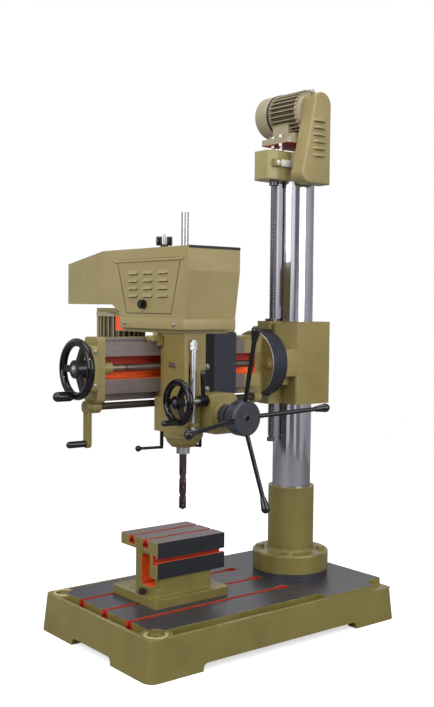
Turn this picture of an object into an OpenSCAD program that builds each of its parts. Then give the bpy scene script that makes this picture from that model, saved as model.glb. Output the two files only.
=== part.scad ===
// Universal radial arm drill: a hollow base with a T-slotted deck and a box table, a round column,
// a swinging column head with the lifting drive, an arm that lifts and swivels,
// and a belt-driven drilling head that travels along the arm.
// Millimetres, +Z up. The origin is on the floor at the centre of the foundation bolts.
// +X runs along the base from the arm's free end to the column, and the head is on the -Y side of the arm.

/* [Base] */
// Length of the base along the arm
base_l = 920; // [880:10:1000]
// Width of the base
base_w = 566; // [550:2:620]
// Height of the rim above the floor
base_h = 108; // [100:1:130]
// Draft of the walls from foot to rim
base_draft = 12; // [6:1:16]
// Wall of the casting around the hollow underside
base_wall = 24; // [18:1:30]
// Thickness of the deck above the hollow underside
deck_t = 48; // [44:1:60]
// Rise of the machined deck above the rim
deck_rise = 7; // [3:1:12]
// Width of the coolant gutter
gutter_w = 24; // [16:1:28]
// Depth of the coolant gutter below the rim
gutter_depth = 14; // [8:1:18]
// Distance of the foundation bolts from the base's ends
bolt_inset_x = 54; // [50:1:64]
// Distance of the foundation bolts from the base's sides
bolt_inset_y = 49; // [47:1:54]
// Foundation bolt hole diameter
bolt_hole_d = 18; // [12:1:22]
// Pitch of the three deck T-slots
slot_pitch = 121; // [110:1:130]
// Neck width of a deck T-slot
slot_neck = 15; // [15:1:20]
// Head width of a deck T-slot
slot_head = 30; // [26:1:34]

/* [Column] */
// Column diameter
column_d = 120; // [110:1:126]
// Wall of the column tube
column_wall = 20; // [12:1:28]
// Distance of the column axis from the base's end
column_inset = 184; // [174:1:194]
// Top of the column above the floor
column_top = 1372; // [1362:1:1384]
// Height of the raised column seat above the deck
seat_h = 18; // [10:1:24]
// Diameter of the pedestal flange
flange_d = 238; // [226:2:246]
// Thickness of the pedestal flange
flange_t = 56; // [40:1:64]
// Diameter of the pedestal sleeve
sleeve_d = 144; // [138:1:150]
// Top of the pedestal sleeve above the floor
sleeve_top = 392; // [340:1:420]

/* [Box table] */
// Length of the table top along X
table_l = 238; // [220:2:250]
// Width of the table top along Y
table_w = 185; // [176:1:200]
// Height of the table above the deck
table_h = 177; // [165:1:185]
// Thickness of the top slab
table_t = 33; // [30:1:38]
// Thickness of the front slab
front_t = 38; // [30:1:42]
// Height of the front slab
front_h = 102; // [90:1:110]
// Neck width of the table's T-slots
table_neck = 12; // [10:1:18]
// Head width of the table's T-slots
table_head = 26; // [24:1:30]

/* [Column head] */
// Distance of the lifting screw from the column axis
screw_off = 89; // [88:1:94]
// Diameter of the lifting screw
screw_d = 20; // [16:1:24]
// Lower end of the lifting screw above the floor
screw_low = 536; // [525:1:550]
// Height of the column head
cap_h = 87; // [86:1:92]
// Radius of the pinion on the cross shaft
pinion_r = 17; // [15:1:18]
// Radius of the gear on the lifting screw
gear_r = 34; // [32:1:36]
// Radius of the large lifting pulley
lift_pulley_r = 30; // [26:1:31]
// Radius of the small lifting pulley
motor_pulley_r = 20; // [18:1:24]
// Radius of the lifting motor over its fins
lift_motor_r = 66; // [62:1:68]
// Length of the lifting motor without its cowl
lift_motor_l = 131; // [125:1:140]
// Length of the fan cowl
cowl_l = 60; // [40:1:70]
// Width of the belt guard from front to back
guard_t = 50; // [46:1:56]

/* [Arm] */
// Height of the swivel axis above the floor
arm_z = 781; // [775:1:790]
// Radius of the swivel ring
ring_r = 99; // [98:1:104]
// Front face of the arm flange, from the column axis
flange_x = 170; // [168:1:176]
// Length of the arm beam from the flange to its free end
arm_l = 571; // [565:1:600]
// Height of the arm beam
arm_h = 168; // [164:1:168]
// Depth of the arm beam without its ways
arm_d = 66; // [60:1:98]
// Height of the upper way above the swivel axis
way_top = 74; // [72:1:76]
// Depth of the lower way below the swivel axis
way_low = 64; // [62:1:66]
// Height of one way
way_h = 39; // [34:1:42]
// Projection of the ways from the beam
way_t = 25; // [22:1:27]
// Lead screw diameter
lead_d = 20; // [16:1:22]
// Height of the carriage on the column
carriage_h = 253; // [245:1:260]
// Width of the carriage across the column along X
carriage_w = 144; // [142:1:150]
// Depth of the carriage along Y
carriage_d = 190; // [180:2:200]

/* [Drilling head] */
// Spindle axis from the column axis
spindle_off = 527.5; // [525:0.5:530]
// Spindle axis in front of the arm's centre plane
spindle_front = 135; // [133:1:138]
// Diameter of the quill
quill_d = 56; // [52:1:58]
// Travel of the quill
quill_travel = 120; // [100:1:124]
// Module of the quill's rack and pinion
rack_module = 2; // [1.75:0.25:2]
// Teeth of the feed pinion
pinion_teeth = 28; // [26:1:29]
// Length of the saddle along the arm
saddle_l = 237; // [230:1:245]
// Diameter of the twist drill
drill_d = 20; // [12:1:22]
// Length of the drill below the spindle nose
drill_l = 155; // [120:1:160]
// Diameter of the capstan hub
hub_d = 94; // [84:1:100]
// Reach of a capstan lever from the feed axis
lever_reach = 225; // [200:1:240]
// Width of the belt cover along X
cover_w = 173; // [170:1:180]
// Height of the belt cover above its seat
cover_h = 221; // [215:1:230]
// Sheet thickness of the belt cover
cover_t = 3; // [2:0.5:4]

/* [Handwheels] */
// Radius of the arm handwheel's rim, at the middle of its section
wheel_r = 70; // [62:1:72]
// Radius of the fine feed wheel's rim, at the middle of its section
fine_wheel_r = 52; // [44:1:54]
// Length of the arm handwheel's grip
grip_l = 54; // [45:1:60]

/* [Hidden] */
$fn = 64;
// Overrun of every cut
over = 1;
// Clearance of a running shaft, on the radius
run_gap = 0.06;
// Clearance between pieces that pass each other
part_gap = 0.4;
// Clearance of the sliding ways
way_gap = 0.3;
// Seat clearance of pieces fixed together, on the radius
seat_gap = 0.02;

// Base
bolt_span_x = base_l - 2 * bolt_inset_x;
bolt_span_y = base_w - 2 * bolt_inset_y;
column_x = base_l / 2 - column_inset;
deck_z = base_h + deck_rise;
seat_z = deck_z + seat_h;
corner_r = 28;
rim_w = 10;
deck_x0 = -(base_l / 2 - base_draft - rim_w - gutter_w);
deck_x1 = base_l / 2 - base_draft;
deck_y = base_w / 2 - base_draft - rim_w - gutter_w;
wide_deck_y = base_w / 2 - base_draft;
slot_stop = 7;
slot_end = column_x - flange_d / 2 - slot_stop;
gutter_stop = 100;
gutter_end = column_x - gutter_stop;
slot_neck_h = 16;
slot_head_h = 13;
slot_pocket_l = 34;
boss_r = 44;
boss_recess_r = 24;
boss_recess_h = 6;
notch_l = 84;
notch_w = 58;
pad_drop = 12;
pocket_l = 730;
rib_t = 22;
arch_w = 574;
end_arch_w = 200;
arch_h = 20;
arch_r = 16;

// Column pedestal
bolt_circle_r = 96;
bolt_r = 7;
head_af_r = 12.5;
head_h = 10;
washer_r = 14;
washer_h = 3;
bolt_depth = 30;
sleeve_fillet = 10;
edge_chamfer = 3;

// Box table
table_x0 = -280;
table_y0 = -60;
table_x1 = table_x0 + table_l;
table_y1 = table_y0 + table_w;
table_z = deck_z + table_h;
foot_h = 24;
foot_lip_front = 24;
foot_lip_back = 13;
foot_lip_end = 22;
table_wall = 30;
table_floor_h = 45;
table_floor_z = deck_z + table_floor_h;
table_slot_neck_h = 12;
table_slot_head_h = 11;
front_slot_z = table_z - front_h / 2;
table_step = 4;
body_d = 114;
body_set = 8;
body_back = table_y0 + body_d;
body_front = table_y0 + body_set;
body_lead = 18;
body_short = 43;
table_slot_shares = [0.33, 0.7];
hollow_r = 10;
hollow_drop = 8;
foot_r = 10;
table_bolt_lift = 16;
table_washer_r = 10;
table_head_r = 11;

// Column head
cap_grip = 34;
cap_low = column_top - cap_grip;
cap_top = cap_low + cap_h;
screw_x = column_x - screw_off;
cross_x = screw_x + pinion_r + gear_r;
cross_rise = 60;
cross_z = cap_low + cross_rise;
cross_r = 10;
gear_w = 24;
cap_half = 40;
cap_nose_half = 32;
cap_nose_l = 32;
cap_edge_r = 7;
cap_hub_r = 69;
cap_reach = 54;
cap_x0 = screw_x - cap_reach;
gear_room = 3;
ear_w = 16;
plate_rise = 10;
ear_r = plate_rise - part_gap;
ear_l = 26;
hinge_back = 44;
hinge_x = column_x + hinge_back;
hinge_rise = 15;
hinge_z = cap_top + hinge_rise;
hinge_pin_r = 5;
plate_z0 = hinge_z + plate_rise;
plate_t = 18;
plate_z1 = plate_z0 + plate_t;
plate_lead = 90;
plate_x0 = column_x - plate_lead;
plate_l = 150;
plate_y0 = -66;
plate_w = 130;
stud_r = 5;
nut_af_r = 9;
nut_h = 8;
stud_in = 6;
stud_out = 18;
stud_side = 24;
stud_places = [[screw_x + stud_in, -stud_side], [screw_x + stud_out, stud_side]];
motor_back = 4;
motor_x = column_x - motor_back;
foot_t = 18;
foot_half = 54;
foot_flange_t = 14;
pad_half = 50;
pad_in = 47;
pad_l = 70;
pad_h = 50;
bell_r = 46;
bell_edge_r = 60;
lift_motor_z = plate_z1 + foot_t + lift_motor_r;
lift_motor_y0 = -69.5;
lift_motor_y1 = lift_motor_y0 + lift_motor_l;
fin_count = 28;
fin_h = 9;
fin_t = 2.6;
bell_l = 12;
motor_shaft_r = 7;
shaft_seat_l = 30;
box_edge_r = 4;
cowl_wall = 2;
vent_w = 2;
guard_y1 = lift_motor_y0;
guard_y0 = guard_y1 - guard_t;
guard_wall = 2.5;
guard_left = 82;
guard_x0 = column_x - guard_left;
guard_right = 34;
guard_x1 = column_x + guard_right;
guard_drop = 12;
guard_low = cap_low - guard_drop;
guard_low_r = 28;
guard_top_r = 38;
guard_rise = 50;
guard_top_z = lift_motor_z + guard_rise;
guard_hole_r = 20;
belt_w = 10;
belt_t = 8;
belt_y = guard_y0 + guard_t / 2;
rim_half = 9;
groove_gap = 0.5;
collar_r = 15;
low_collar_r = 12;
collar_h = 14;
collar_z = cap_low - part_gap - collar_h;

// Carriage and arm
carriage_drop = 126;
carriage_z0 = arm_z - carriage_drop;
carriage_z1 = carriage_z0 + carriage_h;
nut_boss_reach = 32;
nut_boss_x0 = screw_x - nut_boss_reach;
nut_boss_half = 24;
neck_half_y = 62;
neck_half_z = 66;
arm_face_x = column_x - flange_x;
arm_flange_t = 24.4;
seat_x0 = arm_face_x + arm_flange_t + part_gap;
ring_t = 32;
ring_x1 = seat_x0 + ring_t;
ring_groove_r = 80;
ring_groove_w = 13;
ring_groove_l = 12;
ring_groove_head_w = 24;
ring_groove_head_l = 12;
spigot_r = 40;
spigot_l = 20;
arm_x0 = arm_face_x - arm_l;
arm_half = 50;
arm_front = -arm_half;
way_front = arm_front - way_t;
way_undercut = 13;
way_stop = 31;
way_end_x = arm_face_x - way_stop;
recess_floor = -28;
lead_y = -62;
lead_rise = 4;
lead_z = arm_z + lead_rise;
lift_nut_r = 19;
lift_nut_l = 70;
lift_nut_flange_r = 22;
lift_nut_flange_t = 8;
edge_r = 10;
end_plate_t = 24;
end_plate_x0 = arm_x0 - end_plate_t;
end_plate_margin = 3;
end_plate_w = 65;
cap_plate_t = 22;
cap_plate_x0 = end_plate_x0 - cap_plate_t;
cap_plate_w = 44;
cap_plate_h = 122;
journal_r = 8;
lead_boss_r = 16;
lead_boss_l = 25;
clamp_y = -45;
rod_under = 14;
rod_drop = arm_h / 2 + rod_under;
clamp_z = arm_z - rod_drop;
rod_r = 9.5;
rod_lug = 17;
rod_stop = 12;
rod_end_x = arm_face_x - rod_stop;
rod_lug_l = 26;
crank_l = 96;
crank_hub_r = 17;
crank_t = 18;
crank_x1 = end_plate_x0 - part_gap;
crank_x0 = crank_x1 - crank_t;
crank_end_r = 12;
crank_pin_r = 4;
crank_grip_r = 9;
crank_grip_l = 56;
swivel_places = [90, 270];
swivel_shank_r = 6;
swivel_head_r = 10;
swivel_head_h = 8;
swivel_tee_r = 11;
swivel_tee_h = 9;

// Handwheels
wheel_hub_r = 24;
wheel_hub_l = 38;
wheel_out = 30;
wheel_rim_r = 10.5;
wheel_spoke_w = 18;
wheel_spoke_t = 10;
wheel_x1 = cap_plate_x0 - part_gap;
wheel_x0 = wheel_x1 - wheel_hub_l;
wheel_plane_x = wheel_x1 - wheel_out;
grip_angle = -85;
grip_r = 13;
grip_pin_r = 4;
grip_off = wheel_r;
grip_cap = 8;
pin_short = grip_cap + over;

// Drilling head
spindle_x = column_x - spindle_off;
spindle_y = -spindle_front;
quill_r = quill_d / 2;
saddle_lead = 34;
saddle_x0 = spindle_x - saddle_lead;
saddle_x1 = saddle_x0 + saddle_l;
saddle_t = 37;
saddle_front = way_front - saddle_t;
saddle_drop = 77;
saddle_z0 = arm_z - saddle_drop;
beam_clear = 13;
lock_block_h = 15;
lock_clear = 7.7;
saddle_rise = max(arm_h / 2 + beam_clear, way_top + way_gap + lock_block_h + lock_clear);
saddle_z1 = arm_z + saddle_rise;
jaw_room = 2;
jaw_tip = arm_front - jaw_room;
block_proud = 1.5;
block_x0 = saddle_x0 - block_proud;
block_side = 35.5;
block_x1 = spindle_x + block_side;
block_lead = 59;
head_front = spindle_y - block_lead;
head_rise = saddle_rise;
head_top = arm_z + head_rise;
block_r = 12;
house_left = 53.5;
house_x0 = spindle_x - house_left;
house_right = 133.5;
house_x1 = spindle_x + house_right;
house_under = 9;
house_back = way_front + house_under;
house_drop = 169;
house_z0 = arm_z - house_drop;
house_z1 = saddle_z0;
nose_r = 54;
nose_rim_h = 14;
nose_neck_r = 50;
nose_neck_h = 15;
nose_mid_r = 43;
nose_low_h = 12;
nose_low_r = 32;
nose_z = house_z0 - nose_rim_h - nose_neck_h - nose_low_h;
pressure_angle = 20;
tooth_play = 0.35;
dedendum_share = 1.2;
addendum_share = 0.9;
rack_pitch_off = quill_r - rack_module;
pinion_pitch_r = rack_module * pinion_teeth / 2;
feed_x = spindle_x + rack_pitch_off + pinion_pitch_r;
feed_drop = 119;
feed_z = arm_z - feed_drop;
feed_shaft_r = 11;
pinion_w = 24;
pinion_room = 1.5;
worm_off = 39;
worm_r = 10.6;
worm_wheel_r = 28;
worm_wheel_w = 16;
worm_lead = 27;
worm_y = head_front - worm_lead;
worm_z = feed_z + worm_off;
feed_house_left = 43;
feed_house_x0 = feed_x - feed_house_left;
feed_house_right = 45;
feed_house_x1 = feed_x + feed_house_right;
feed_house_wall = 22;
feed_house_front = worm_y - feed_house_wall;
worm_cover = 19;
feed_house_z1 = worm_z + worm_cover;
feed_house_r = 18;
feed_boss_r = 34;
feed_boss_l = 10;
feed_boss_y = feed_house_front - feed_boss_l;
dial_l = 21.6;
dial_r = 30;
dial_y0 = feed_boss_y - part_gap - dial_l;
hub_neck_l = 28;
hub_neck_r = 26;
hub_disc_l = 38;
hub_edge = 6;
hub_y1 = dial_y0;
hub_y0 = hub_y1 - hub_neck_l - hub_disc_l;
hub_bore_d = 16;
hub_bore_l = 6;
lever_angle = 5;
lever_r = 6;
lever_root = 38;
lever_rise = 58;
lever_y = hub_y0 + hub_disc_l / 2;
knob_r = 12;
knob_neck_r = 7.5;
knob_l = 30;
knob_seat = 14;
fine_wheel_out = 27;
fine_wheel_x = house_x0 - fine_wheel_out;
fine_hub_r = 17;
fine_hub_l = 22;
fine_rim_r = 9.5;
fine_spoke_w = 15;
fine_spoke_t = 9;
fine_shaft_r = 7;
fine_grip_angle = -105;
fine_grip_r = 7.5;
fine_grip_l = 52;
fine_pin_r = 3;
worm_l = 48;
clutch_hub_r = 15;
clutch_hub_l = 20;
clutch_x1 = feed_house_x0 - part_gap;
clutch_reach = 82;
clutch_r = 4.5;
clutch_tip_r = 7;
spindle_r = 15;
spindle_top_r = 10;
spindle_l = 633;
spindle_top = nose_z + spindle_l;
spindle_nose_r = 18.5;
spindle_nose_l = 19;
spindle_shoulder = 229;
quill_bore_r = 18.3;
quill_top = nose_z + spindle_shoulder;
bearing_l = 18;
depth_side = 19.5;
depth_x = spindle_x - depth_side;
depth_lead = 10;
depth_y = head_front - depth_lead;
depth_r = 8;
depth_rise = 52;
depth_low = nose_z + depth_rise;
depth_drop = 16;
depth_top = head_top - depth_drop;
depth_arm_drop = 14;
depth_arm_z = quill_top - depth_arm_drop;
depth_arm_h = 10;
depth_arm_w = 10;
depth_nut_r = 11;
depth_nut_h = 9;
depth_lug_rise = 20;
depth_lug_z = house_z0 + depth_lug_rise;
depth_lug_h = 10;
depth_lug_w = 22;
depth_lug_wall = 3;
depth_slot_gap = 2;
gib_in = 115;
gib_x0 = saddle_x0 + gib_in;
gib_w = 38;
gib_t = 6;
lock_block_l = 32;
lock_tab_w = 14;
lock_tab_drop = 12;
traverse_nut_l = 40;
traverse_nut_h = 34;
traverse_x = saddle_x0 + saddle_l / 2;

// Head drive under the cover
bracket_t = 10.6;
cover_z0 = head_top + bracket_t;
bracket_inset = 4;
bracket_y0 = head_front + bracket_inset;
bracket_left = 6;
bracket_x0 = saddle_x0 - bracket_left;
bracket_w = 147;
bracket_x1 = bracket_x0 + bracket_w;
riser_t = 12;
riser_y = 145;
main_motor_side = 29.5;
main_motor_x = spindle_x + main_motor_side;
main_motor_y = 222;
main_motor_r = 74;
upper_plate_t = 12;
riser_h = 43;
upper_plate_z0 = cover_z0 + riser_h;
gusset_y0 = 108;
motor_top_flange_t = 12;
motor_body_l = 160;
motor_cowl_l = 60;
motor_spigot_r = 45;
motor_fin_h = 8;
main_shaft_r = 9;
sleeve_r = 22;
sleeve_seat = 20;
sleeve_low = head_top - sleeve_seat;
step_rs = [48, 40, 32];
step_h = 28;
step_rise = 79.4;
step_z0 = cover_z0 + step_rise;
sleeve_l = 94;
sleeve_top_z = step_z0 + sleeve_l;
main_belt_w = 12;
main_belt_t = 8;
cover_x0 = house_x0;
cover_x1 = cover_x0 + cover_w;
cover_lead = 31;
cover_front = head_front - cover_lead;
cover_foot_lead = 8;
cover_foot_front = head_front - cover_foot_lead;
cover_bend_h = 156;
cover_bend_z = cover_z0 + cover_bend_h;
cover_top = cover_z0 + cover_h;
cover_skirt_y = 98;
cover_step_y = 105;
cover_step_rise = 2;
cover_under_rise = 11;
cover_under_z = upper_plate_z0 + upper_plate_t + cover_under_rise;
cover_under_y = 144;
cover_rear_y = 394;
cover_fall = 33;
cover_rear_z = cover_top - cover_fall;
cover_slope_y = 194;
door_top_h = 187;
door_top_z = cover_z0 + door_top_h;
door_low_h = 43;
door_low_z = cover_z0 + door_low_h;
door_top_y0 = -186;
door_top_y1 = 113;
door_low_y0 = -148;
door_low_y1 = 66;
door_gap = 1;
knuckle_r = 4;
hinge_wire_r = 2;
hinge_tab = 12;
louvre_rows = 4;
louvre_cols = 3;
louvre_l = 44;
louvre_h = 10;
louvre_out = 5;
louvre_slot = 3;
louvre_pitch_y = 72;
louvre_pitch_z = 21;
louvre_y0 = -132;
louvre_rise = 44;
louvre_z0 = door_low_z + louvre_rise;
door_knob_y = -23;
door_knob_rise = 24;
door_knob_z = door_low_z + door_knob_rise;
door_knob_r = 13;
door_knob_l = 18;
door_stem_r = 4;
cover_stud_side = 31.5;
cover_stud_x = spindle_x + cover_stud_side;
cover_stud_y = 5;
cover_stud_r = 4;
cover_stud_out = 43;
cover_nut_h = 7;
cover_stud_top = cover_top + cover_stud_out;
cover_knob_r = 12;
cover_knob_h = 25;
wing_l = 24;
wing_t = 9;
wing_h = 19;
quill_lock_side = 73.5;
quill_lock_x = spindle_x + quill_lock_side;
quill_lock_back = 20;
quill_lock_y = spindle_y + quill_lock_back;
head_lock_side = 31.5;
head_lock_x = spindle_x - head_lock_side;
head_lock_back = 56;
head_lock_y = spindle_y + head_lock_back;
lock_r = 5;
lock_socket = 24;
lock_drop = 48;
lock_reach = 70;
quill_lock_reach = 48;
lock_ball_r = 8.5;
quill_lock_turn = 135;
head_lock_turn = 170;

paint = "#8d8450";
machined = "#6f6c72";
steel = "#b9babd";
dark_steel = "#3c3d47";
black = "#1b1b1d";
primer = "#a8401f";
bronze = "#a9803f";

// Box between two corners
module box(lo, hi) {
  translate(lo) cube(hi - lo);
}

// Bar with rounded upright edges
module soft_box(lo, hi, r) {
  size = hi - lo;
  translate(lo) linear_extrude(size[2]) round_rect(size[0], size[1], r);
}

// Rectangle with round corners, from the origin
module round_rect(w, d, r) {
  translate([r, 0]) square([w - 2 * r, d]);
  translate([0, r]) square([w, d - 2 * r]);
  for (x = [r, w - r], y = [r, d - r]) translate([x, y]) circle(r);
}

// Cylinder along X, Y or Z between two stations, at the place of the other two coordinates
module rod_x(r, x0, x1, y, z) {
  translate([x0, y, z]) rotate([0, 90, 0]) cylinder(r = r, h = x1 - x0);
}

module rod_y(r, y0, y1, x, z) {
  translate([x, y0, z]) rotate([-90, 0, 0]) cylinder(r = r, h = y1 - y0);
}

module rod_z(r, z0, z1, x, y) {
  translate([x, y, z0]) cylinder(r = r, h = z1 - z0);
}

// Outline in the Y-Z plane, extruded along X
module profile_x(x0, x1) {
  translate([x0, 0, 0]) rotate([90, 0, 90]) linear_extrude(x1 - x0) children();
}

// Outline in the X-Z plane, extruded along Y
module profile_y(y0, y1) {
  translate([0, y1, 0]) rotate([90, 0, 0]) linear_extrude(y1 - y0) children();
}

module hex(r, h) {
  cylinder(r = r, h = h, $fn = 6);
}

// Bolt with a washer, its seat at the origin and its shank pointing down
module hex_bolt(depth) {
  cylinder(r = washer_r, h = washer_h);
  translate([0, 0, washer_h]) hex(head_af_r, head_h);
  translate([0, 0, -depth]) cylinder(r = bolt_r, h = depth);
}

// Tunnel with round upper corners, centred on Y-Z or X-Z by its caller
module arch_outline(w) {
  translate([-w / 2, -over]) square([w, arch_h - arch_r + over]);
  translate([-w / 2 + arch_r, -over]) square([w - 2 * arch_r, arch_h + over]);
  for (s = [-1, 1]) translate([s * (w / 2 - arch_r), arch_h - arch_r]) circle(arch_r);
}

// T-slot cut along X, with its mouth at z
module t_slot(x0, x1, y, z, neck, neck_h, head, head_h) {
  box([x0, y - neck / 2, z - neck_h - head_h], [x1, y + neck / 2, z + over]);
  box([x0, y - head / 2, z - neck_h - head_h], [x1, y + head / 2, z - neck_h]);
}

module base_blank() {
  hull() for (sx = [-1, 1], sy = [-1, 1])
    translate([sx * (base_l / 2 - corner_r), sy * (base_w / 2 - corner_r), 0])
      cylinder(r1 = corner_r, r2 = corner_r - base_draft, h = base_h, $fn = 32);
}

module base_hollow() {
  bay = (pocket_l - 2 * rib_t) / 3;
  half = base_w / 2 - base_draft - base_wall;
  for (i = [0, 1, 2])
    soft_box([-pocket_l / 2 + i * (bay + rib_t), -half, -over],
      [-pocket_l / 2 + i * (bay + rib_t) + bay, half, deck_z - deck_t], corner_r);
  profile_y(-base_w, base_w) arch_outline(arch_w);
  profile_x(-base_l, base_l) arch_outline(end_arch_w);
}

module base_deck() {
  box([deck_x0, -deck_y, base_h - gutter_depth], [deck_x1, deck_y, deck_z]);
  box([gutter_end, -wide_deck_y, base_h - gutter_depth], [deck_x1, wide_deck_y, deck_z]);
  rod_z(flange_d / 2 - over, deck_z, seat_z, column_x, 0);
}

module foundation_holes() {
  for (sx = [-1, 1], sy = [-1, 1])
    rod_z(bolt_hole_d / 2, -over, deck_z + over, sx * bolt_span_x / 2, sy * bolt_span_y / 2);
  for (sy = [-1, 1])
    rod_z(boss_recess_r, base_h - boss_recess_h, deck_z + over, -bolt_span_x / 2, sy * bolt_span_y / 2);
}

module corner_notches() {
  for (s = [0, 1]) mirror([0, s, 0])
    box([base_l / 2 - notch_l, base_w / 2 - notch_w, base_h - pad_drop], [base_l, base_w, deck_z + over]);
}

module pedestal_bolt_places() {
  for (a = [45:90:315]) translate([column_x, 0, 0]) rotate(a) translate([bolt_circle_r, 0, 0]) children();
}

module base_casting() {
  color(paint) difference() {
    union() {
      difference() {
        base_blank();
        box([-(base_l / 2 - base_draft - rim_w), -(wide_deck_y - rim_w), base_h - gutter_depth],
          [gutter_end, wide_deck_y - rim_w, base_h + over]);
      }
      base_deck();
      for (s = [-1, 1]) intersection() {
        base_blank();
        rod_z(boss_r, base_h - gutter_depth, base_h, -bolt_span_x / 2, s * bolt_span_y / 2);
      }
    }
    for (i = [-1, 0, 1]) {
      t_slot(deck_x0 - over, slot_end, i * slot_pitch, deck_z, slot_neck, slot_neck_h, slot_head,
        slot_head_h);
      box([slot_end - slot_pocket_l, i * slot_pitch - slot_head / 2, deck_z - slot_neck_h - slot_head_h],
        [slot_end, i * slot_pitch + slot_head / 2, deck_z + over]);
    }
    base_hollow();
    corner_notches();
    foundation_holes();
    pedestal_bolt_places() rod_z(bolt_r + seat_gap, seat_z - bolt_depth, seat_z + over, 0, 0);
  }
}

module column_pedestal() {
  color(paint) difference() {
    translate([column_x, 0, 0]) rotate_extrude() difference() {
      union() {
        translate([0, seat_z]) square([flange_d / 2 - edge_chamfer, flange_t]);
        translate([0, seat_z]) square([flange_d / 2, flange_t - edge_chamfer]);
        translate([0, seat_z]) square([sleeve_d / 2, sleeve_top - seat_z]);
        translate([0, seat_z + flange_t]) square([sleeve_d / 2 + sleeve_fillet, sleeve_fillet]);
      }
      translate([sleeve_d / 2 + sleeve_fillet, seat_z + flange_t + sleeve_fillet]) circle(sleeve_fillet);
      translate([0, seat_z - over]) square([column_d / 2 + seat_gap, sleeve_top - seat_z + 2 * over]);
    }
    pedestal_bolt_places() rod_z(bolt_r + seat_gap, seat_z - over, seat_z + flange_t + over, 0, 0);
    pedestal_bolt_places() rod_z(washer_r + over, seat_z + flange_t - edge_chamfer,
      seat_z + flange_t + sleeve_fillet + over, 0, 0);
  }
}

module table_bolt_places() {
  translate([table_x0 - foot_lip_end / 2, 0, 0]) children();
  translate([table_x0 + table_l / 2, slot_pitch, 0]) children();
}

module base_bolts() {
  color(steel) {
    pedestal_bolt_places() translate([0, 0, seat_z + flange_t - edge_chamfer])
      hex_bolt(flange_t - edge_chamfer + bolt_depth);
    table_bolt_places() translate([0, 0, deck_z + foot_h]) {
      cylinder(r = table_washer_r, h = washer_h);
      translate([0, 0, washer_h]) hex(table_head_r, head_h);
      translate([0, 0, -foot_h - slot_neck_h - part_gap])
        cylinder(r = bolt_r, h = foot_h + slot_neck_h + table_bolt_lift);
      translate([0, 0, -foot_h - slot_neck_h - head_h])
        cylinder(r = slot_neck / 2 + over, h = head_h - part_gap);
    }
  }
}

module column() {
  color(steel) difference() {
    rod_z(column_d / 2, seat_z, column_top, column_x, 0);
    rod_z(column_d / 2 - column_wall, seat_z - over, column_top + over, column_x, 0);
  }
}

// Body of the table under its slabs
module table_body() {
  box([table_x0 + table_step, body_front, deck_z], [table_x1 - body_short, body_back, table_z - over]);
  box([table_x0, table_y0, table_z - front_h], [table_x1, table_y0 + front_t, table_z]);
  box([table_x0, table_y0, table_z - table_t], [table_x1, table_y1, table_z]);
}

module box_table() {
  hollow_y0 = table_y0 + front_t;
  hollow_y1 = body_back - table_wall;
  hollow_z1 = table_z - table_t - hollow_drop;
  color(paint) difference() {
    union() {
      soft_box([table_x0 - foot_lip_end, table_y0 - foot_lip_front, deck_z],
        [table_x1, table_y1 + foot_lip_back, deck_z + foot_h], foot_r);
      table_body();
    }
    profile_x(table_x0 - over, table_x1 + over) translate([hollow_y0, table_floor_z])
      round_rect(hollow_y1 - hollow_y0, hollow_z1 - table_floor_z, hollow_r);
    box([table_x0 - over, table_y0 - over, table_floor_z],
      [table_x0 + body_lead, hollow_y0 + over, table_z - front_h]);
    for (share = table_slot_shares)
      t_slot(table_x0 - over, table_x1 + over, table_y0 + share * table_w, table_z,
        table_neck, table_slot_neck_h, table_head, table_slot_head_h);
    translate([0, table_y0, front_slot_z]) rotate([90, 0, 0])
      t_slot(table_x0 - over, table_x1 + over, 0, 0, table_neck, table_slot_neck_h, table_head,
        table_slot_head_h);
    table_bolt_places() rod_z(bolt_r + part_gap, deck_z - over, deck_z + foot_h + over, 0, 0);
  }
}

// Plan of the column head's arm, narrower at its nose
module cap_plan() {
  shoulder = cap_x0 + cap_nose_l;
  polygon([[cap_x0, -cap_nose_half], [cap_x0, cap_nose_half], [shoulder, cap_half], [column_x, cap_half],
    [column_x, -cap_half], [shoulder, -cap_half]]);
}

module column_cap() {
  color(paint) difference() {
    union() {
      rod_z(cap_hub_r, cap_low, cap_top, column_x, 0);
      translate([0, 0, cap_low]) linear_extrude(cap_h) offset(cap_edge_r) offset(delta = -cap_edge_r)
        cap_plan();
      for (s = [0, 1]) mirror([0, s, 0]) {
        rod_y(ear_r, cap_half - ear_w, cap_half, hinge_x, hinge_z);
        box([hinge_x - ear_r, cap_half - ear_w, cap_top], [hinge_x + ear_r, cap_half, hinge_z]);
      }
    }
    rod_z(column_d / 2 + run_gap, cap_low - over, column_top + part_gap, column_x, 0);
    rod_z(screw_d / 2 + run_gap, cap_low - over, cap_top - gear_room, screw_x, 0);
    rod_z(gear_r + gear_room, cross_z - gear_w / 2 - part_gap, cross_z + gear_w / 2 + part_gap, screw_x, 0);
    rod_y(cross_r + run_gap, -cap_hub_r - over, cap_half - gear_room, cross_x, cross_z);
    rod_y(pinion_r + gear_room, -gear_w / 2 - part_gap, gear_w / 2 + part_gap, cross_x, cross_z);
    rod_y(hinge_pin_r + seat_gap, -cap_half - over, cap_half + over, hinge_x, hinge_z);
    for (p = stud_places) rod_z(stud_r + seat_gap, cap_top - gear_room, cap_top + over, p[0], p[1]);
  }
}

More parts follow.
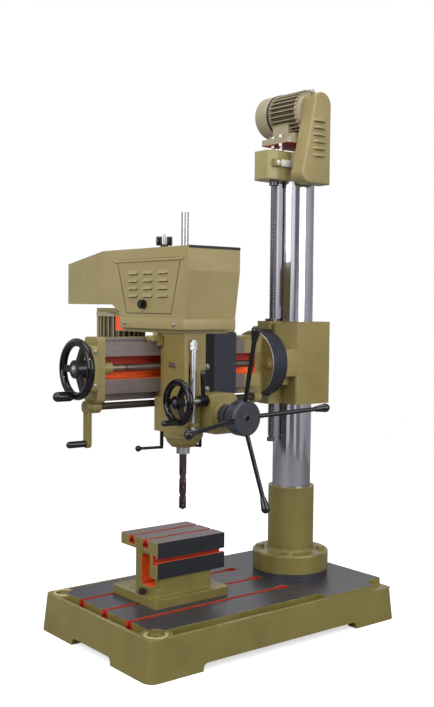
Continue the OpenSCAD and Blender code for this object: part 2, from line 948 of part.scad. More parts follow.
module motor_plate() {
  tongue = cap_half - ear_w - part_gap;
  color(primer) difference() {
    union() {
      soft_box([plate_x0, plate_y0, plate_z0], [plate_x0 + plate_l, plate_y0 + plate_w, plate_z1], edge_r);
      rod_y(ear_r - over, -tongue, tongue, hinge_x, hinge_z);
      box([hinge_x - ear_r + over, -tongue, hinge_z], [hinge_x + ear_r - over, tongue, plate_z0 + over]);
    }
    rod_y(hinge_pin_r + seat_gap, -cap_half, cap_half, hinge_x, hinge_z);
    for (p = stud_places) rod_z(stud_r + seat_gap, plate_z0 - over, plate_z1 + over, p[0], p[1]);
  }
}

module motor_fixings() {
  color(steel) {
    rod_y(hinge_pin_r, -cap_half - ear_l / 2, cap_half, hinge_x, hinge_z);
    for (p = stud_places) translate([p[0], p[1], 0]) {
      rod_z(stud_r, cap_top - gear_room, plate_z1 + nut_h + over, 0, 0);
      translate([0, 0, plate_z0 - nut_h]) hex(nut_af_r, nut_h);
      translate([0, 0, plate_z1]) hex(nut_af_r, nut_h);
      translate([0, 0, cap_top]) hex(nut_af_r, nut_h);
    }
  }
}

// Finned motor body along +Z from the origin
module finned_body(r, l, fins, rib_h) {
  cylinder(r = r - rib_h, h = l);
  for (i = [0:fins - 1]) rotate(i * 360 / fins)
    translate([0, -fin_t / 2, 0]) cube([r, fin_t, l]);
}

module lift_motor() {
  body_l = lift_motor_l - bell_l;
  color(machined) difference() {
    union() {
      translate([motor_x, lift_motor_y0 + bell_l / 2, lift_motor_z]) rotate([-90, 0, 0])
        finned_body(lift_motor_r - over, body_l, fin_count, fin_h);
      translate([motor_x, lift_motor_y0, lift_motor_z]) rotate([-90, 0, 0])
        cylinder(r1 = bell_r, r2 = bell_edge_r, h = bell_l);
      rod_y(lift_motor_r, lift_motor_y1 - bell_l, lift_motor_y1, motor_x, lift_motor_z);
      box([motor_x - foot_half, lift_motor_y0 + bell_l, plate_z1],
        [motor_x + foot_half, lift_motor_y1 - over, plate_z1 + foot_flange_t]);
      box([motor_x - pad_half, lift_motor_y0 + pad_in, plate_z1 + over],
        [motor_x + pad_half, lift_motor_y0 + pad_in + pad_l, plate_z1 + pad_h]);
      soft_box([motor_x + lift_motor_r / 2, lift_motor_y0 + lift_motor_l / 3, lift_motor_z - over],
        [motor_x + lift_motor_r + ear_w, lift_motor_y0 + lift_motor_l * 0.8,
          lift_motor_z + lift_motor_r / 2],
        box_edge_r);
    }
    rod_y(motor_shaft_r + run_gap, lift_motor_y0 - over, lift_motor_y0 + shaft_seat_l, motor_x,
      lift_motor_z);
  }
}

module lift_motor_cowl() {
  r = lift_motor_r;
  color(machined) translate([motor_x, lift_motor_y1, lift_motor_z]) rotate([-90, 0, 0]) difference() {
    rotate_extrude() {
      square([r - edge_r, cowl_l]);
      square([r, cowl_l - edge_r]);
      translate([r - edge_r, cowl_l - edge_r]) circle(edge_r);
    }
    translate([0, 0, -over]) cylinder(r = r - cowl_wall, h = cowl_l - edge_r + over);
    translate([0, 0, -over]) cylinder(r = r - edge_r, h = cowl_l - cowl_wall + over);
    for (a = [0:30:330]) rotate(a) translate([r / 4, -vent_w / 2, 0])
      cube([r * 0.42, vent_w, cowl_l + over]);
  }
}

// Grooved pulley rim along +Z, centred on the origin
module v_rim(r) {
  rotate_extrude() difference() {
    translate([0, -rim_half]) square([r, 2 * rim_half]);
    translate([r - belt_t, -belt_w / 2 - groove_gap]) square([belt_t + over, belt_w + 2 * groove_gap]);
  }
}

module lift_motor_pulley() {
  color(steel) {
    translate([motor_x, belt_y, lift_motor_z]) rotate([90, 0, 0]) v_rim(motor_pulley_r);
    rod_y(motor_shaft_r, belt_y - rim_half - gear_room, lift_motor_y0 + shaft_seat_l - over, motor_x,
      lift_motor_z);
  }
}

module lift_cross_shaft() {
  color(steel) {
    rod_y(cross_r, belt_y - rim_half - gear_room, cap_half - gear_room - part_gap, cross_x, cross_z);
    rod_y(pinion_r - part_gap, -gear_w / 2, gear_w / 2, cross_x, cross_z);
  }
}

module lift_cross_pulley() {
  color(steel) translate([cross_x, belt_y, cross_z]) rotate([90, 0, 0]) difference() {
    v_rim(lift_pulley_r);
    cylinder(r = cross_r + seat_gap, h = 4 * rim_half, center = true);
  }
}

// Open belt round two pulleys in the X-Z plane
module belt_loop(a, ra, b, rb) {
  hull() {
    translate(a) circle(ra);
    translate(b) circle(rb);
  }
}

module lift_belt() {
  a = [motor_x, lift_motor_z];
  b = [cross_x, cross_z];
  inner = groove_gap - belt_t;
  color(black) profile_y(belt_y - belt_w / 2, belt_y + belt_w / 2) difference() {
    belt_loop(a, motor_pulley_r + groove_gap, b, lift_pulley_r + groove_gap, $fn = 40);
    belt_loop(a, motor_pulley_r + inner, b, lift_pulley_r + inner, $fn = 40);
  }
}

module guard_outline() {
  hull() {
    translate([guard_x1 - guard_top_r, guard_top_z - guard_top_r]) circle(guard_top_r, $fn = 40);
    translate([guard_x0 + guard_low_r, guard_low + guard_low_r]) circle(guard_low_r, $fn = 40);
    translate([guard_x1 - guard_low_r, guard_low]) square(guard_low_r);
  }
}

module lift_guard() {
  color(paint) difference() {
    profile_y(guard_y0, guard_y1) guard_outline();
    profile_y(guard_y0 + guard_wall, guard_y1 - guard_wall) offset(delta = -guard_wall) guard_outline();
    rod_y(guard_hole_r, guard_y1 - 2 * guard_wall, guard_y1 + over, motor_x, lift_motor_z);
    rod_y(guard_hole_r, guard_y1 - 2 * guard_wall, guard_y1 + over, cross_x, cross_z);
  }
}

module lift_screw() {
  color(steel) {
    rod_z(screw_d / 2, screw_low, cap_top - gear_room - part_gap, screw_x, 0);
    rod_z(low_collar_r, screw_low, screw_low + collar_h, screw_x, 0);
    rod_z(collar_r, collar_z, collar_z + collar_h, screw_x, 0);
    rod_z(gear_r - part_gap, cross_z - gear_w / 2, cross_z + gear_w / 2, screw_x, 0);
  }
}

module arm_carriage() {
  color(paint) difference() {
    union() {
      soft_box([column_x - carriage_w / 2, -carriage_d / 2, carriage_z0],
        [column_x + carriage_w / 2, carriage_d / 2, carriage_z1], edge_r);
      box([nut_boss_x0, -nut_boss_half, carriage_z0], [column_x, nut_boss_half, carriage_z1]);
      box([ring_x1 - over, -neck_half_y, arm_z - neck_half_z], [column_x, neck_half_y, arm_z + neck_half_z]);
      rod_x(ring_r, seat_x0, ring_x1, 0, arm_z);
    }
    rod_z(column_d / 2 + run_gap, carriage_z0 - over, carriage_z1 + over, column_x, 0);
    rod_z(screw_d / 2 + gear_room, carriage_z0 - over, carriage_z1 + over, screw_x, 0);
    rod_z(lift_nut_r + seat_gap, carriage_z1 - lift_nut_l, carriage_z1 + over, screw_x, 0);
    rod_x(spigot_r + run_gap, seat_x0 - over, seat_x0 + spigot_l + part_gap, 0, arm_z);
    translate([0, 0, arm_z]) ring_groove();
  }
}

// T-shaped ring groove in the swivel face
module ring_groove() {
  translate([seat_x0, 0, 0]) rotate([0, 90, 0]) rotate_extrude() {
    translate([ring_groove_r - ring_groove_w / 2, -over]) square([ring_groove_w, ring_groove_l + 2 * over]);
    translate([ring_groove_r - ring_groove_head_w / 2, ring_groove_l])
      square([ring_groove_head_w, ring_groove_head_l]);
  }
}

module lift_nut() {
  color(bronze) difference() {
    union() {
      rod_z(lift_nut_r, carriage_z1 - lift_nut_l, carriage_z1, screw_x, 0);
      rod_z(lift_nut_flange_r, carriage_z1, carriage_z1 + lift_nut_flange_t, screw_x, 0);
    }
    rod_z(screw_d / 2 + run_gap, carriage_z0, carriage_z1 + lift_nut_flange_t + over, screw_x, 0);
  }
}

// Section of the arm: the beam with its two undercut ways and the lead screw's recess
module arm_section() {
  difference() {
    translate([arm_front, arm_z - arm_h / 2]) square([arm_d, arm_h]);
    translate([way_front, arm_z - way_low + way_h])
      square([recess_floor - way_front, way_top + way_low - 2 * way_h]);
  }
  ways_section();
}

module ways_section() {
  polygon([[arm_front + over, arm_z + way_top - way_undercut], [way_front, arm_z + way_top],
    [way_front, arm_z + way_top - way_h], [arm_front + over, arm_z + way_top - way_h]]);
  polygon([[arm_front + over, arm_z - way_low + way_undercut], [way_front, arm_z - way_low],
    [way_front, arm_z - way_low + way_h], [arm_front + over, arm_z - way_low + way_h]]);
}

module swivel_bolt_places() {
  for (a = swivel_places) translate([0, 0, arm_z]) rotate([a, 0, 0]) translate([0, 0, ring_groove_r])
    children();
}

module arm_beam() {
  color(paint) difference() {
    union() {
      profile_x(arm_x0, way_end_x) arm_section();
      box([way_end_x - over, arm_front, arm_z - arm_h / 2],
        [arm_face_x + over, arm_half, arm_z + arm_h / 2]);
      rod_x(ring_r, arm_face_x, arm_face_x + arm_flange_t, 0, arm_z);
      rod_x(spigot_r, arm_face_x, seat_x0 + spigot_l, 0, arm_z);
      rod_x(rod_lug, rod_end_x - rod_lug_l, rod_end_x, clamp_y, clamp_z);
    }
    rod_x(rod_r + run_gap, rod_end_x - rod_lug_l - over, rod_end_x + over, clamp_y, clamp_z);
    swivel_bolt_places() rod_x(swivel_shank_r + seat_gap, arm_face_x - over, seat_x0, 0, 0);
  }
}

module arm_end_plate() {
  margin = end_plate_margin;
  color(paint) difference() {
    union() {
      profile_x(end_plate_x0, arm_x0) translate([way_front - margin, arm_z - arm_h / 2 - margin])
        round_rect(end_plate_w, arm_h + 2 * margin, edge_r);
      rod_x(rod_lug, end_plate_x0, arm_x0, clamp_y, clamp_z);
      rod_x(lead_boss_r, arm_x0, arm_x0 + lead_boss_l, lead_y, lead_z);
    }
    rod_x(journal_r + run_gap, end_plate_x0 - over, arm_x0 + lead_boss_l + over, lead_y, lead_z);
    rod_x(rod_r + run_gap, end_plate_x0 - over, arm_x0 + over, clamp_y, clamp_z);
  }
}

module leadscrew_cap() {
  color(paint) difference() {
    profile_x(cap_plate_x0, end_plate_x0) translate([lead_y - cap_plate_w / 2, lead_z - cap_plate_h / 2])
      round_rect(cap_plate_w, cap_plate_h, edge_r);
    rod_x(journal_r + run_gap, cap_plate_x0 - over, end_plate_x0 + over, lead_y, lead_z);
  }
}

module swivel_bolts() {
  color(steel) swivel_bolt_places() {
    rod_x(swivel_shank_r, arm_face_x, seat_x0 + ring_groove_l + over, 0, 0);
    translate([arm_face_x - swivel_head_h, 0, 0]) rotate([0, 90, 0]) hex(swivel_head_r, swivel_head_h);
    rod_x(swivel_tee_r, seat_x0 + ring_groove_l + part_gap,
      seat_x0 + ring_groove_l + swivel_tee_h + part_gap, 0, 0);
  }
}

module arm_leadscrew() {
  color(steel) {
    rod_x(lead_d / 2, arm_x0 + lead_boss_l + part_gap, way_end_x - rod_lug_l, lead_y, lead_z);
    rod_x(journal_r, wheel_x0, arm_x0 + lead_boss_l + over, lead_y, lead_z);
  }
}

// Hand wheel along +Z, its rim's middle at the origin and its hub reaching back
module hand_wheel(r, rim_r, hub_r, hub_l, hub_back, spoke_w, spoke_t) {
  rotate_extrude() translate([r, 0]) circle(rim_r);
  translate([0, 0, -hub_back]) cylinder(r = hub_r, h = hub_l);
  for (a = [90, 210, 330]) rotate(a) translate([0, -spoke_w / 2, -spoke_t / 2]) cube([r, spoke_w, spoke_t]);
}

module arm_handwheel() {
  color(black) difference() {
    translate([wheel_plane_x, lead_y, lead_z]) rotate([0, -90, 0])
      hand_wheel(wheel_r, wheel_rim_r, wheel_hub_r, wheel_hub_l, wheel_out, wheel_spoke_w, wheel_spoke_t);
    rod_x(journal_r + seat_gap, wheel_x0 - over, wheel_x1 + over, lead_y, lead_z);
    at_wheel_grip()
      rod_x(grip_pin_r + seat_gap, wheel_plane_x - wheel_rim_r - over,
        wheel_plane_x + wheel_rim_r + over, 0, 0);
  }
  color(steel) at_wheel_grip()
    rod_x(grip_pin_r, wheel_plane_x - wheel_rim_r - grip_l + pin_short, wheel_plane_x + wheel_rim_r, 0, 0);
}

module at_wheel_grip() {
  translate([0, lead_y, lead_z]) rotate([grip_angle, 0, 0]) translate([0, grip_off, 0]) children();
}

// Turned grip along -X with a bore for its pin
module turned_grip(x1, l, r, pin_r) {
  translate([x1, 0, 0]) rotate([0, -90, 0]) difference() {
    rotate_extrude() {
      square([r * 0.8, l - r]);
      translate([0, r * 0.4]) square([r, l - r * 1.4]);
      translate([0, l - r]) intersection() {
        circle(r);
        square([r, r]);
      }
    }
    translate([0, 0, -over]) cylinder(r = pin_r + run_gap, h = l - grip_cap + over);
  }
}

module arm_wheel_grip() {
  color(black) at_wheel_grip() turned_grip(wheel_plane_x - wheel_rim_r - part_gap, grip_l, grip_r,
    grip_pin_r);
}

module clamp_rod() {
  grip_z = clamp_z - crank_l;
  color(paint) {
    rod_x(rod_r, crank_x0, rod_end_x, clamp_y, clamp_z);
    rod_x(crank_hub_r, crank_x0, crank_x1, clamp_y, clamp_z);
    difference() {
      union() {
        box([crank_x0 + gear_room, clamp_y - crank_end_r, grip_z],
          [crank_x1 - gear_room, clamp_y + crank_end_r, clamp_z]);
        rod_x(crank_end_r, crank_x0 + gear_room, crank_x1 - gear_room, clamp_y, grip_z);
      }
      rod_x(rod_r - over, crank_x0 - over, crank_x1 + over, clamp_y, clamp_z);
    }
    rod_x(crank_pin_r, crank_x0 + gear_room - crank_grip_l + pin_short, crank_x1 - gear_room, clamp_y,
      grip_z);
  }
}

module clamp_grip() {
  color(black) translate([0, clamp_y, clamp_z - crank_l])
    turned_grip(crank_x0 + gear_room - part_gap, crank_grip_l, crank_grip_r, crank_pin_r);
}

module saddle() {
  color(dark_steel) difference() {
    profile_x(saddle_x0, saddle_x1) difference() {
      translate([saddle_front, saddle_z0]) square([jaw_tip - saddle_front, saddle_z1 - saddle_z0]);
      offset(delta = way_gap) hull() ways_section();
      translate([way_front - way_gap, arm_z - way_low + way_undercut])
        square([-way_front, way_top + way_low - 2 * way_undercut]);
    }
    rod_z(quill_r + gear_room, saddle_z0 - over, saddle_z1 + over, spindle_x, spindle_y);
  }
}

module saddle_lock() {
  low = arm_z + way_top + way_gap;
  color(paint) {
    box([block_x0 - lock_block_l, way_front - lock_tab_w, low],
      [block_x0, arm_front - gear_room, low + lock_block_h]);
    box([block_x0 - lock_tab_w, way_front - lock_tab_w, low - lock_tab_drop],
      [block_x0, way_front - way_gap, low]);
    translate([block_x0 - lock_block_l / 2, way_front + over, low + lock_block_h])
      cylinder(r = nut_af_r, h = nut_h, $fn = 4);
  }
}

module gib_strip() {
  color(black) box([gib_x0, saddle_front - gib_t, saddle_z0], [gib_x0 + gib_w, saddle_front, saddle_z1]);
}

module traverse_nut() {
  half = traverse_nut_h / 2;
  color(bronze) difference() {
    box([traverse_x - traverse_nut_l / 2, way_front - way_gap, lead_z - half],
      [traverse_x + traverse_nut_l / 2, lead_y + half - over, lead_z + half]);
    rod_x(lead_d / 2 + run_gap, traverse_x - traverse_nut_l, traverse_x + traverse_nut_l, lead_y, lead_z);
  }
}

// Everything that is hollow inside the head casting
module head_bores() {
  slot = depth_arm_w / 2 + depth_slot_gap;
  rod_z(quill_r + run_gap, nose_z - over, quill_top + part_gap, spindle_x, spindle_y);
  rod_z(sleeve_r - gear_room, quill_top, head_top + over, spindle_x, spindle_y);
  rod_z(sleeve_r + run_gap, sleeve_low, head_top + over, spindle_x, spindle_y);
  rod_y(pinion_pitch_r + rack_module + pinion_room, spindle_y - pinion_w / 2 - part_gap,
    spindle_y + pinion_w / 2 + part_gap, feed_x, feed_z);
  rod_y(feed_shaft_r + run_gap, feed_boss_y - over, spindle_y + pinion_w / 2 + worm_wheel_w, feed_x, feed_z);
  rod_y(worm_wheel_r + gear_room, worm_y - worm_wheel_w / 2 - part_gap, worm_y + worm_wheel_w / 2 + part_gap,
    feed_x, feed_z);
  rod_x(fine_shaft_r + run_gap, feed_house_x0 - over, feed_x + worm_l / 2 + worm_wheel_w, worm_y, worm_z);
  rod_x(worm_r + gear_room / 2, feed_x - worm_l / 2 - part_gap, feed_x + worm_l / 2 + part_gap, worm_y,
    worm_z);
  box([depth_x - slot, head_front - over, depth_arm_z - quill_travel - depth_slot_gap],
    [depth_x + slot, spindle_y, depth_arm_z + depth_arm_h + depth_slot_gap]);
  rod_z(lock_r + run_gap, house_z0 - over, house_z0 + lock_socket + part_gap, quill_lock_x, quill_lock_y);
  rod_z(lock_r + run_gap, house_z0 - over, house_z0 + lock_socket + part_gap, head_lock_x, head_lock_y);
}

module head_casting() {
  color(paint) difference() {
    union() {
      soft_box([block_x0, head_front, house_z0 + over], [block_x1, saddle_front, head_top], block_r);
      box([block_x0, (head_front + saddle_front) / 2, house_z0 + over], [block_x1, saddle_front, head_top]);
      soft_box([house_x0, head_front, house_z0], [house_x1, house_back, house_z1], block_r);
      profile_y(feed_house_front, head_front + block_r) translate([feed_house_x0, house_z0])
        round_rect(feed_house_x1 - feed_house_x0, feed_house_z1 - house_z0, feed_house_r);
      rod_y(feed_boss_r, feed_boss_y, head_front, feed_x, feed_z);
      translate([spindle_x, spindle_y, nose_z]) {
        cylinder(r1 = nose_low_r, r2 = nose_mid_r, h = nose_low_h);
        translate([0, 0, nose_low_h]) cylinder(r1 = nose_mid_r, r2 = nose_neck_r, h = nose_neck_h);
      }
      rod_z(nose_r, house_z0 - nose_rim_h, house_z0 + over, spindle_x, spindle_y);
      box([depth_x - depth_lug_w / 2, depth_y - depth_r - depth_lug_wall, depth_lug_z],
        [depth_x + depth_lug_w / 2, head_front + over, depth_lug_z + depth_lug_h]);
    }
    head_bores();
    rod_z(depth_r + run_gap, depth_lug_z - over, depth_lug_z + depth_lug_h + over, depth_x, depth_y);
  }
}

module motor_bracket() {
  color(primer) difference() {
    union() {
      box([bracket_x0, bracket_y0, head_top], [bracket_x1, riser_y, cover_z0]);
      box([bracket_x0, riser_y - riser_t, cover_z0 - over], [bracket_x1, riser_y, upper_plate_z0 + over]);
      box([bracket_x0, riser_y - riser_t, upper_plate_z0],
        [bracket_x1, main_motor_y, upper_plate_z0 + upper_plate_t]);
      rod_z(main_motor_r - over, upper_plate_z0, upper_plate_z0 + upper_plate_t, main_motor_x, main_motor_y);
      for (x = [bracket_x0, bracket_x1 - riser_t])
        box([x, gusset_y0, cover_z0 - over], [x + riser_t, riser_y, upper_plate_z0 + over]);
    }
    rod_z(sleeve_r + gear_room, head_top - over, cover_z0 + over, spindle_x, spindle_y);
    rod_z(motor_spigot_r + seat_gap, upper_plate_z0 - over, upper_plate_z0 + upper_plate_t + over,
      main_motor_x, main_motor_y);
    rod_z(cover_stud_r + seat_gap, head_top - over, cover_z0 + over, cover_stud_x, cover_stud_y);
  }
}

module main_motor() {
  flange_z = upper_plate_z0 - motor_top_flange_t;
  color(machined) difference() {
    union() {
      rod_z(motor_spigot_r, flange_z, upper_plate_z0 + upper_plate_t, main_motor_x, main_motor_y);
      rod_z(main_motor_r, flange_z, upper_plate_z0, main_motor_x, main_motor_y);
      translate([main_motor_x, main_motor_y, flange_z - motor_body_l])
        finned_body(main_motor_r - over, motor_body_l, fin_count, motor_fin_h);
      translate([main_motor_x, main_motor_y, flange_z - motor_body_l - motor_cowl_l]) rotate_extrude() {
        square([main_motor_r - edge_r, motor_cowl_l]);
        translate([0, edge_r]) square([main_motor_r, motor_cowl_l - edge_r]);
        translate([main_motor_r - edge_r, edge_r]) circle(edge_r);
      }
    }
    rod_z(main_shaft_r + run_gap, flange_z - shaft_seat_l, cover_top, main_motor_x, main_motor_y);
  }
}

module cover_outline() {
  polygon([[cover_foot_front, cover_z0], [cover_front, cover_bend_z], [cover_front, cover_top],
    [cover_slope_y, cover_top], [cover_rear_y, cover_rear_z], [cover_rear_y, cover_under_z],
    [cover_under_y, cover_under_z], [cover_step_y, upper_plate_z0 + cover_step_rise],
    [cover_skirt_y, cover_z0]]);
}

module door_outline(gap) {
  polygon([[door_low_y0 - gap, door_low_z - gap], [door_top_y0 - gap, door_top_z + gap],
    [door_top_y1 + gap, door_top_z + gap], [door_low_y1 + gap, door_low_z - gap]]);
}

module belt_cover() {
  color(paint) difference() {
    union() {
      difference() {
        profile_x(cover_x0, cover_x1) cover_outline();
        profile_x(cover_x0 + cover_t, cover_x1 - cover_t) offset(delta = -cover_t) cover_outline();
        box([cover_x0 + cover_t, cover_foot_front + cover_t, cover_z0 - over],
          [cover_x1 - cover_t, cover_skirt_y - cover_t, cover_z0 + 2 * cover_t]);
        box([cover_x0 + cover_t, cover_under_y, cover_under_z - over],
          [cover_x1 - cover_t, cover_rear_y - cover_t, cover_under_z + 2 * cover_t]);
        profile_x(cover_x0 - over, cover_x0 + 2 * cover_t) door_outline(door_gap);
        box([cover_x0 - over, door_top_y0 - door_gap, door_top_z - knuckle_r],
          [cover_x0 + 2 * cover_t, door_top_y1 + door_gap, door_top_z + knuckle_r + door_gap]);
      }
      for (y = [door_top_y0 - door_gap - hinge_tab, door_top_y1 + door_gap])
        rod_y(knuckle_r, y, y + hinge_tab, cover_x0, door_top_z);
    }
    rod_y(hinge_wire_r + seat_gap, door_top_y0 - 2 * hinge_tab, door_top_y1 + 2 * hinge_tab, cover_x0,
      door_top_z);
    rod_z(spindle_top_r + gear_room, cover_top - 2 * cover_t, cover_top + over, spindle_x, spindle_y);
    rod_z(cover_stud_r + part_gap, cover_top - 2 * cover_t, cover_top + over, cover_stud_x, cover_stud_y);
  }
}

module hinge_pin() {
  color(steel)
    rod_y(hinge_wire_r, door_top_y0 - hinge_tab - door_gap, door_top_y1 + hinge_tab + door_gap, cover_x0,
      door_top_z);
}

// One pressed louvre: a hood that is open below
module louvre() {
  profile_y(0, louvre_l) polygon([[0, 0], [0, louvre_h], [-louvre_out, 0]]);
}

module louvre_places() {
  for (i = [0:louvre_cols - 1], j = [0:louvre_rows - 1])
    translate([cover_x0, louvre_y0 + i * louvre_pitch_y, louvre_z0 + j * louvre_pitch_z]) children();
}

module cover_door() {
  color(paint) difference() {
    union() {
      profile_x(cover_x0, cover_x0 + cover_t) door_outline(0);
      rod_y(knuckle_r, door_top_y0, door_top_y1, cover_x0, door_top_z);
      louvre_places() louvre();
    }
    rod_y(hinge_wire_r + run_gap, door_top_y0 - over, door_top_y1 + over, cover_x0, door_top_z);
    louvre_places() box([-louvre_out * 0.7, cover_t, -over],
      [cover_t + over, louvre_l - cover_t, louvre_slot]);
    rod_x(door_stem_r + run_gap, cover_x0 - over, cover_x0 + cover_t + over, door_knob_y, door_knob_z);
  }
}

module door_knob() {
  color(black) translate([cover_x0 - part_gap, door_knob_y, door_knob_z]) rotate([0, -90, 0]) {
    rotate_extrude() {
      square([door_knob_r * 0.7, door_knob_l]);
      translate([0, door_knob_l / 4]) square([door_knob_r, door_knob_l / 2]);
    }
    translate([0, 0, -cover_t - part_gap - gear_room])
      cylinder(r = door_stem_r, h = cover_t + gear_room + over);
  }
}

module cover_stud() {
  color(steel) {
    rod_z(cover_stud_r, head_top, cover_stud_top, cover_stud_x, cover_stud_y);
    translate([cover_stud_x, cover_stud_y, cover_top]) hex(nut_af_r, cover_nut_h);
  }
}

module cover_knob() {
  color(black) translate([cover_stud_x, cover_stud_y, cover_top + cover_nut_h + part_gap]) difference() {
    union() {
      cylinder(r = cover_knob_r, h = cover_knob_h);
      for (s = [0, 1]) mirror([0, s, 0])
        soft_box([-wing_t / 2, 0, cover_knob_h - wing_h], [wing_t / 2, wing_l, cover_knob_h], wing_t / 3);
    }
    translate([0, 0, -over]) cylinder(r = cover_stud_r + run_gap, h = cover_knob_h + 2 * over);
  }
}

// Three-step cone pulley along +Z from the origin
module cone_pulley(radii) {
  rotate_extrude() for (i = [0:len(radii) - 1]) translate([0, i * step_h]) difference() {
    square([radii[i], step_h]);
    translate([radii[i] - main_belt_t, (step_h - main_belt_w) / 2 - groove_gap])
      square([main_belt_t + over, main_belt_w + 2 * groove_gap]);
  }
}

function reversed(v) = [for (i = [len(v) - 1:-1:0]) v[i]];

module spindle_pulley() {
  color(machined) difference() {
    union() {
      rod_z(sleeve_r, sleeve_low + part_gap, sleeve_top_z, spindle_x, spindle_y);
      translate([spindle_x, spindle_y, step_z0]) cone_pulley(step_rs);
    }
    rod_z(spindle_top_r + run_gap, sleeve_low, sleeve_top_z + over, spindle_x, spindle_y);
  }
}

module main_motor_pulley() {
  shaft_low = upper_plate_z0 - motor_top_flange_t - shaft_seat_l + over;
  color(machined) {
    translate([main_motor_x, main_motor_y, step_z0]) cone_pulley(reversed(step_rs));
    rod_z(main_shaft_r, shaft_low, step_z0 + 3 * step_h + gear_room, main_motor_x, main_motor_y);
  }
}

module main_belt() {
  r = step_rs[1];
  a = [spindle_x, spindle_y];
  b = [main_motor_x, main_motor_y];
  low = step_z0 + 1.5 * step_h - main_belt_w / 2;
  color(black) translate([0, 0, low]) linear_extrude(main_belt_w) difference() {
    belt_loop(a, r + groove_gap, b, r + groove_gap, $fn = 48);
    belt_loop(a, r + groove_gap - main_belt_t, b, r + groove_gap - main_belt_t, $fn = 48);
  }
}

// Rack gaps on the quill's +X side, a tooth pitch apart, in mesh with the pinion
module rack_gaps() {
  pitch = PI * rack_module;
  half = pitch / 4 + tooth_play / 2;
  depth = dedendum_share * rack_module;
  tip = rack_module;
  lean = tan(pressure_angle);
  first = -3;
  last = ceil(quill_travel / pitch) + 3;
  for (i = [first:last]) translate([0, 0, feed_z + i * pitch])
    profile_y(spindle_y - quill_r, spindle_y + quill_r)
      polygon([[spindle_x + rack_pitch_off - depth, -half + depth * lean],
        [spindle_x + rack_pitch_off + tip + over, -half - (tip + over) * lean],
        [spindle_x + rack_pitch_off + tip + over, half + (tip + over) * lean],
        [spindle_x + rack_pitch_off - depth, half - depth * lean]]);
}

// Pinion outline: straight-flanked teeth on the pitch circle, one tooth pointing at angle 0
module pinion_outline() {
  step = 360 / pinion_teeth;
  tip_r = pinion_pitch_r + addendum_share * rack_module;
  root_r = pinion_pitch_r - dedendum_share * rack_module;
  half = step / 4 - tooth_play / 2 / pinion_pitch_r * 180 / PI;
  lean_tip = addendum_share * rack_module * tan(pressure_angle) * 1.25 / pinion_pitch_r * 180 / PI;
  lean_root = dedendum_share * rack_module * tan(pressure_angle) * 0.8 / pinion_pitch_r * 180 / PI;
  polygon([for (i = [0:pinion_teeth - 1])
    each [for (c = [[root_r, -half - lean_root], [tip_r, -half + lean_tip], [tip_r, half - lean_tip],
      [root_r, half + lean_root]]) c[0] * [cos(i * step + c[1]), sin(i * step + c[1])]]]);
}

module quill() {
  color(steel) difference() {
    rod_z(quill_r, nose_z, quill_top, spindle_x, spindle_y);
    rod_z(quill_bore_r, nose_z - over, quill_top + over, spindle_x, spindle_y);
    rack_gaps();
    box([depth_x - depth_arm_w / 2 - seat_gap, spindle_y - quill_d, depth_arm_z],
      [depth_x + depth_arm_w / 2 + seat_gap, spindle_y - quill_bore_r + seat_gap, quill_top + over]);
  }
}

module depth_rod() {
  color(steel) {
    rod_z(depth_r, depth_low, depth_top, depth_x, depth_y);
    translate([depth_x, depth_y, depth_top - 2.9 * depth_nut_h]) hex(depth_nut_r, depth_nut_h);
    translate([depth_x, depth_y, depth_top - 1.7 * depth_nut_h]) hex(depth_nut_r, depth_nut_h);
    box([depth_x - depth_arm_w / 2, depth_y, depth_arm_z + seat_gap],
      [depth_x + depth_arm_w / 2, spindle_y - quill_bore_r, depth_arm_z + depth_arm_h]);
  }
}

module quill_bearing() {
  color(steel) for (z = [nose_z + gear_room, quill_top - bearing_l - gear_room]) difference() {
    rod_z(quill_bore_r - seat_gap, z, z + bearing_l, spindle_x, spindle_y);
    rod_z(spindle_r + run_gap, z - over, z + bearing_l + over, spindle_x, spindle_y);
  }
}

module spindle() {
  nose_low = nose_z - part_gap - spindle_nose_l;
  color(steel) difference() {
    union() {
      rod_z(spindle_nose_r, nose_low, nose_z - part_gap, spindle_x, spindle_y);
      rod_z(spindle_r, nose_low, quill_top + gear_room, spindle_x, spindle_y);
      rod_z(spindle_top_r, nose_low, spindle_top, spindle_x, spindle_y);
    }
    rod_z(drill_d / 2 + seat_gap, nose_low - over, nose_z + gear_room, spindle_x, spindle_y);
  }
}

module drill_bit() {
  nose_low = nose_z - part_gap - spindle_nose_l;
  tip = nose_low - drill_l;
  r = drill_d / 2;
  web = drill_d * 0.16;
  shank_l = drill_l * 0.24;
  color(dark_steel) translate([spindle_x, spindle_y, 0]) {
    translate([0, 0, nose_low - shank_l]) cylinder(r = r, h = shank_l + spindle_nose_l);
    intersection() {
      translate([0, 0, tip]) linear_extrude(drill_l - shank_l, twist = -420, slices = 28)
        difference() {
          circle(r, $fn = 16);
          for (s = [-1, 1]) translate([s * (web + r * 0.62), 0]) circle(r * 0.62, $fn = 10);
        }
      translate([0, 0, tip]) cylinder(r1 = 0, r2 = drill_l * tan(59), h = drill_l);
    }
  }
}

module feed_shaft() {
  color(steel) {
    translate([feed_x, spindle_y + pinion_w / 2, feed_z]) rotate([90, 0, 0]) linear_extrude(pinion_w)
      rotate(180 + 180 / pinion_teeth * (pinion_teeth % 2)) pinion_outline();
    rod_y(feed_shaft_r, hub_y0 + hub_bore_l, spindle_y + pinion_w / 2 + worm_wheel_w - over, feed_x, feed_z);
    rod_y(worm_wheel_r - part_gap, worm_y - worm_wheel_w / 2, worm_y + worm_wheel_w / 2, feed_x, feed_z);
  }
}

module feed_dial() {
  color(steel) difference() {
    rod_y(dial_r, dial_y0, dial_y0 + dial_l, feed_x, feed_z);
    rod_y(feed_shaft_r + seat_gap, dial_y0 - over, dial_y0 + dial_l + over, feed_x, feed_z);
  }
}

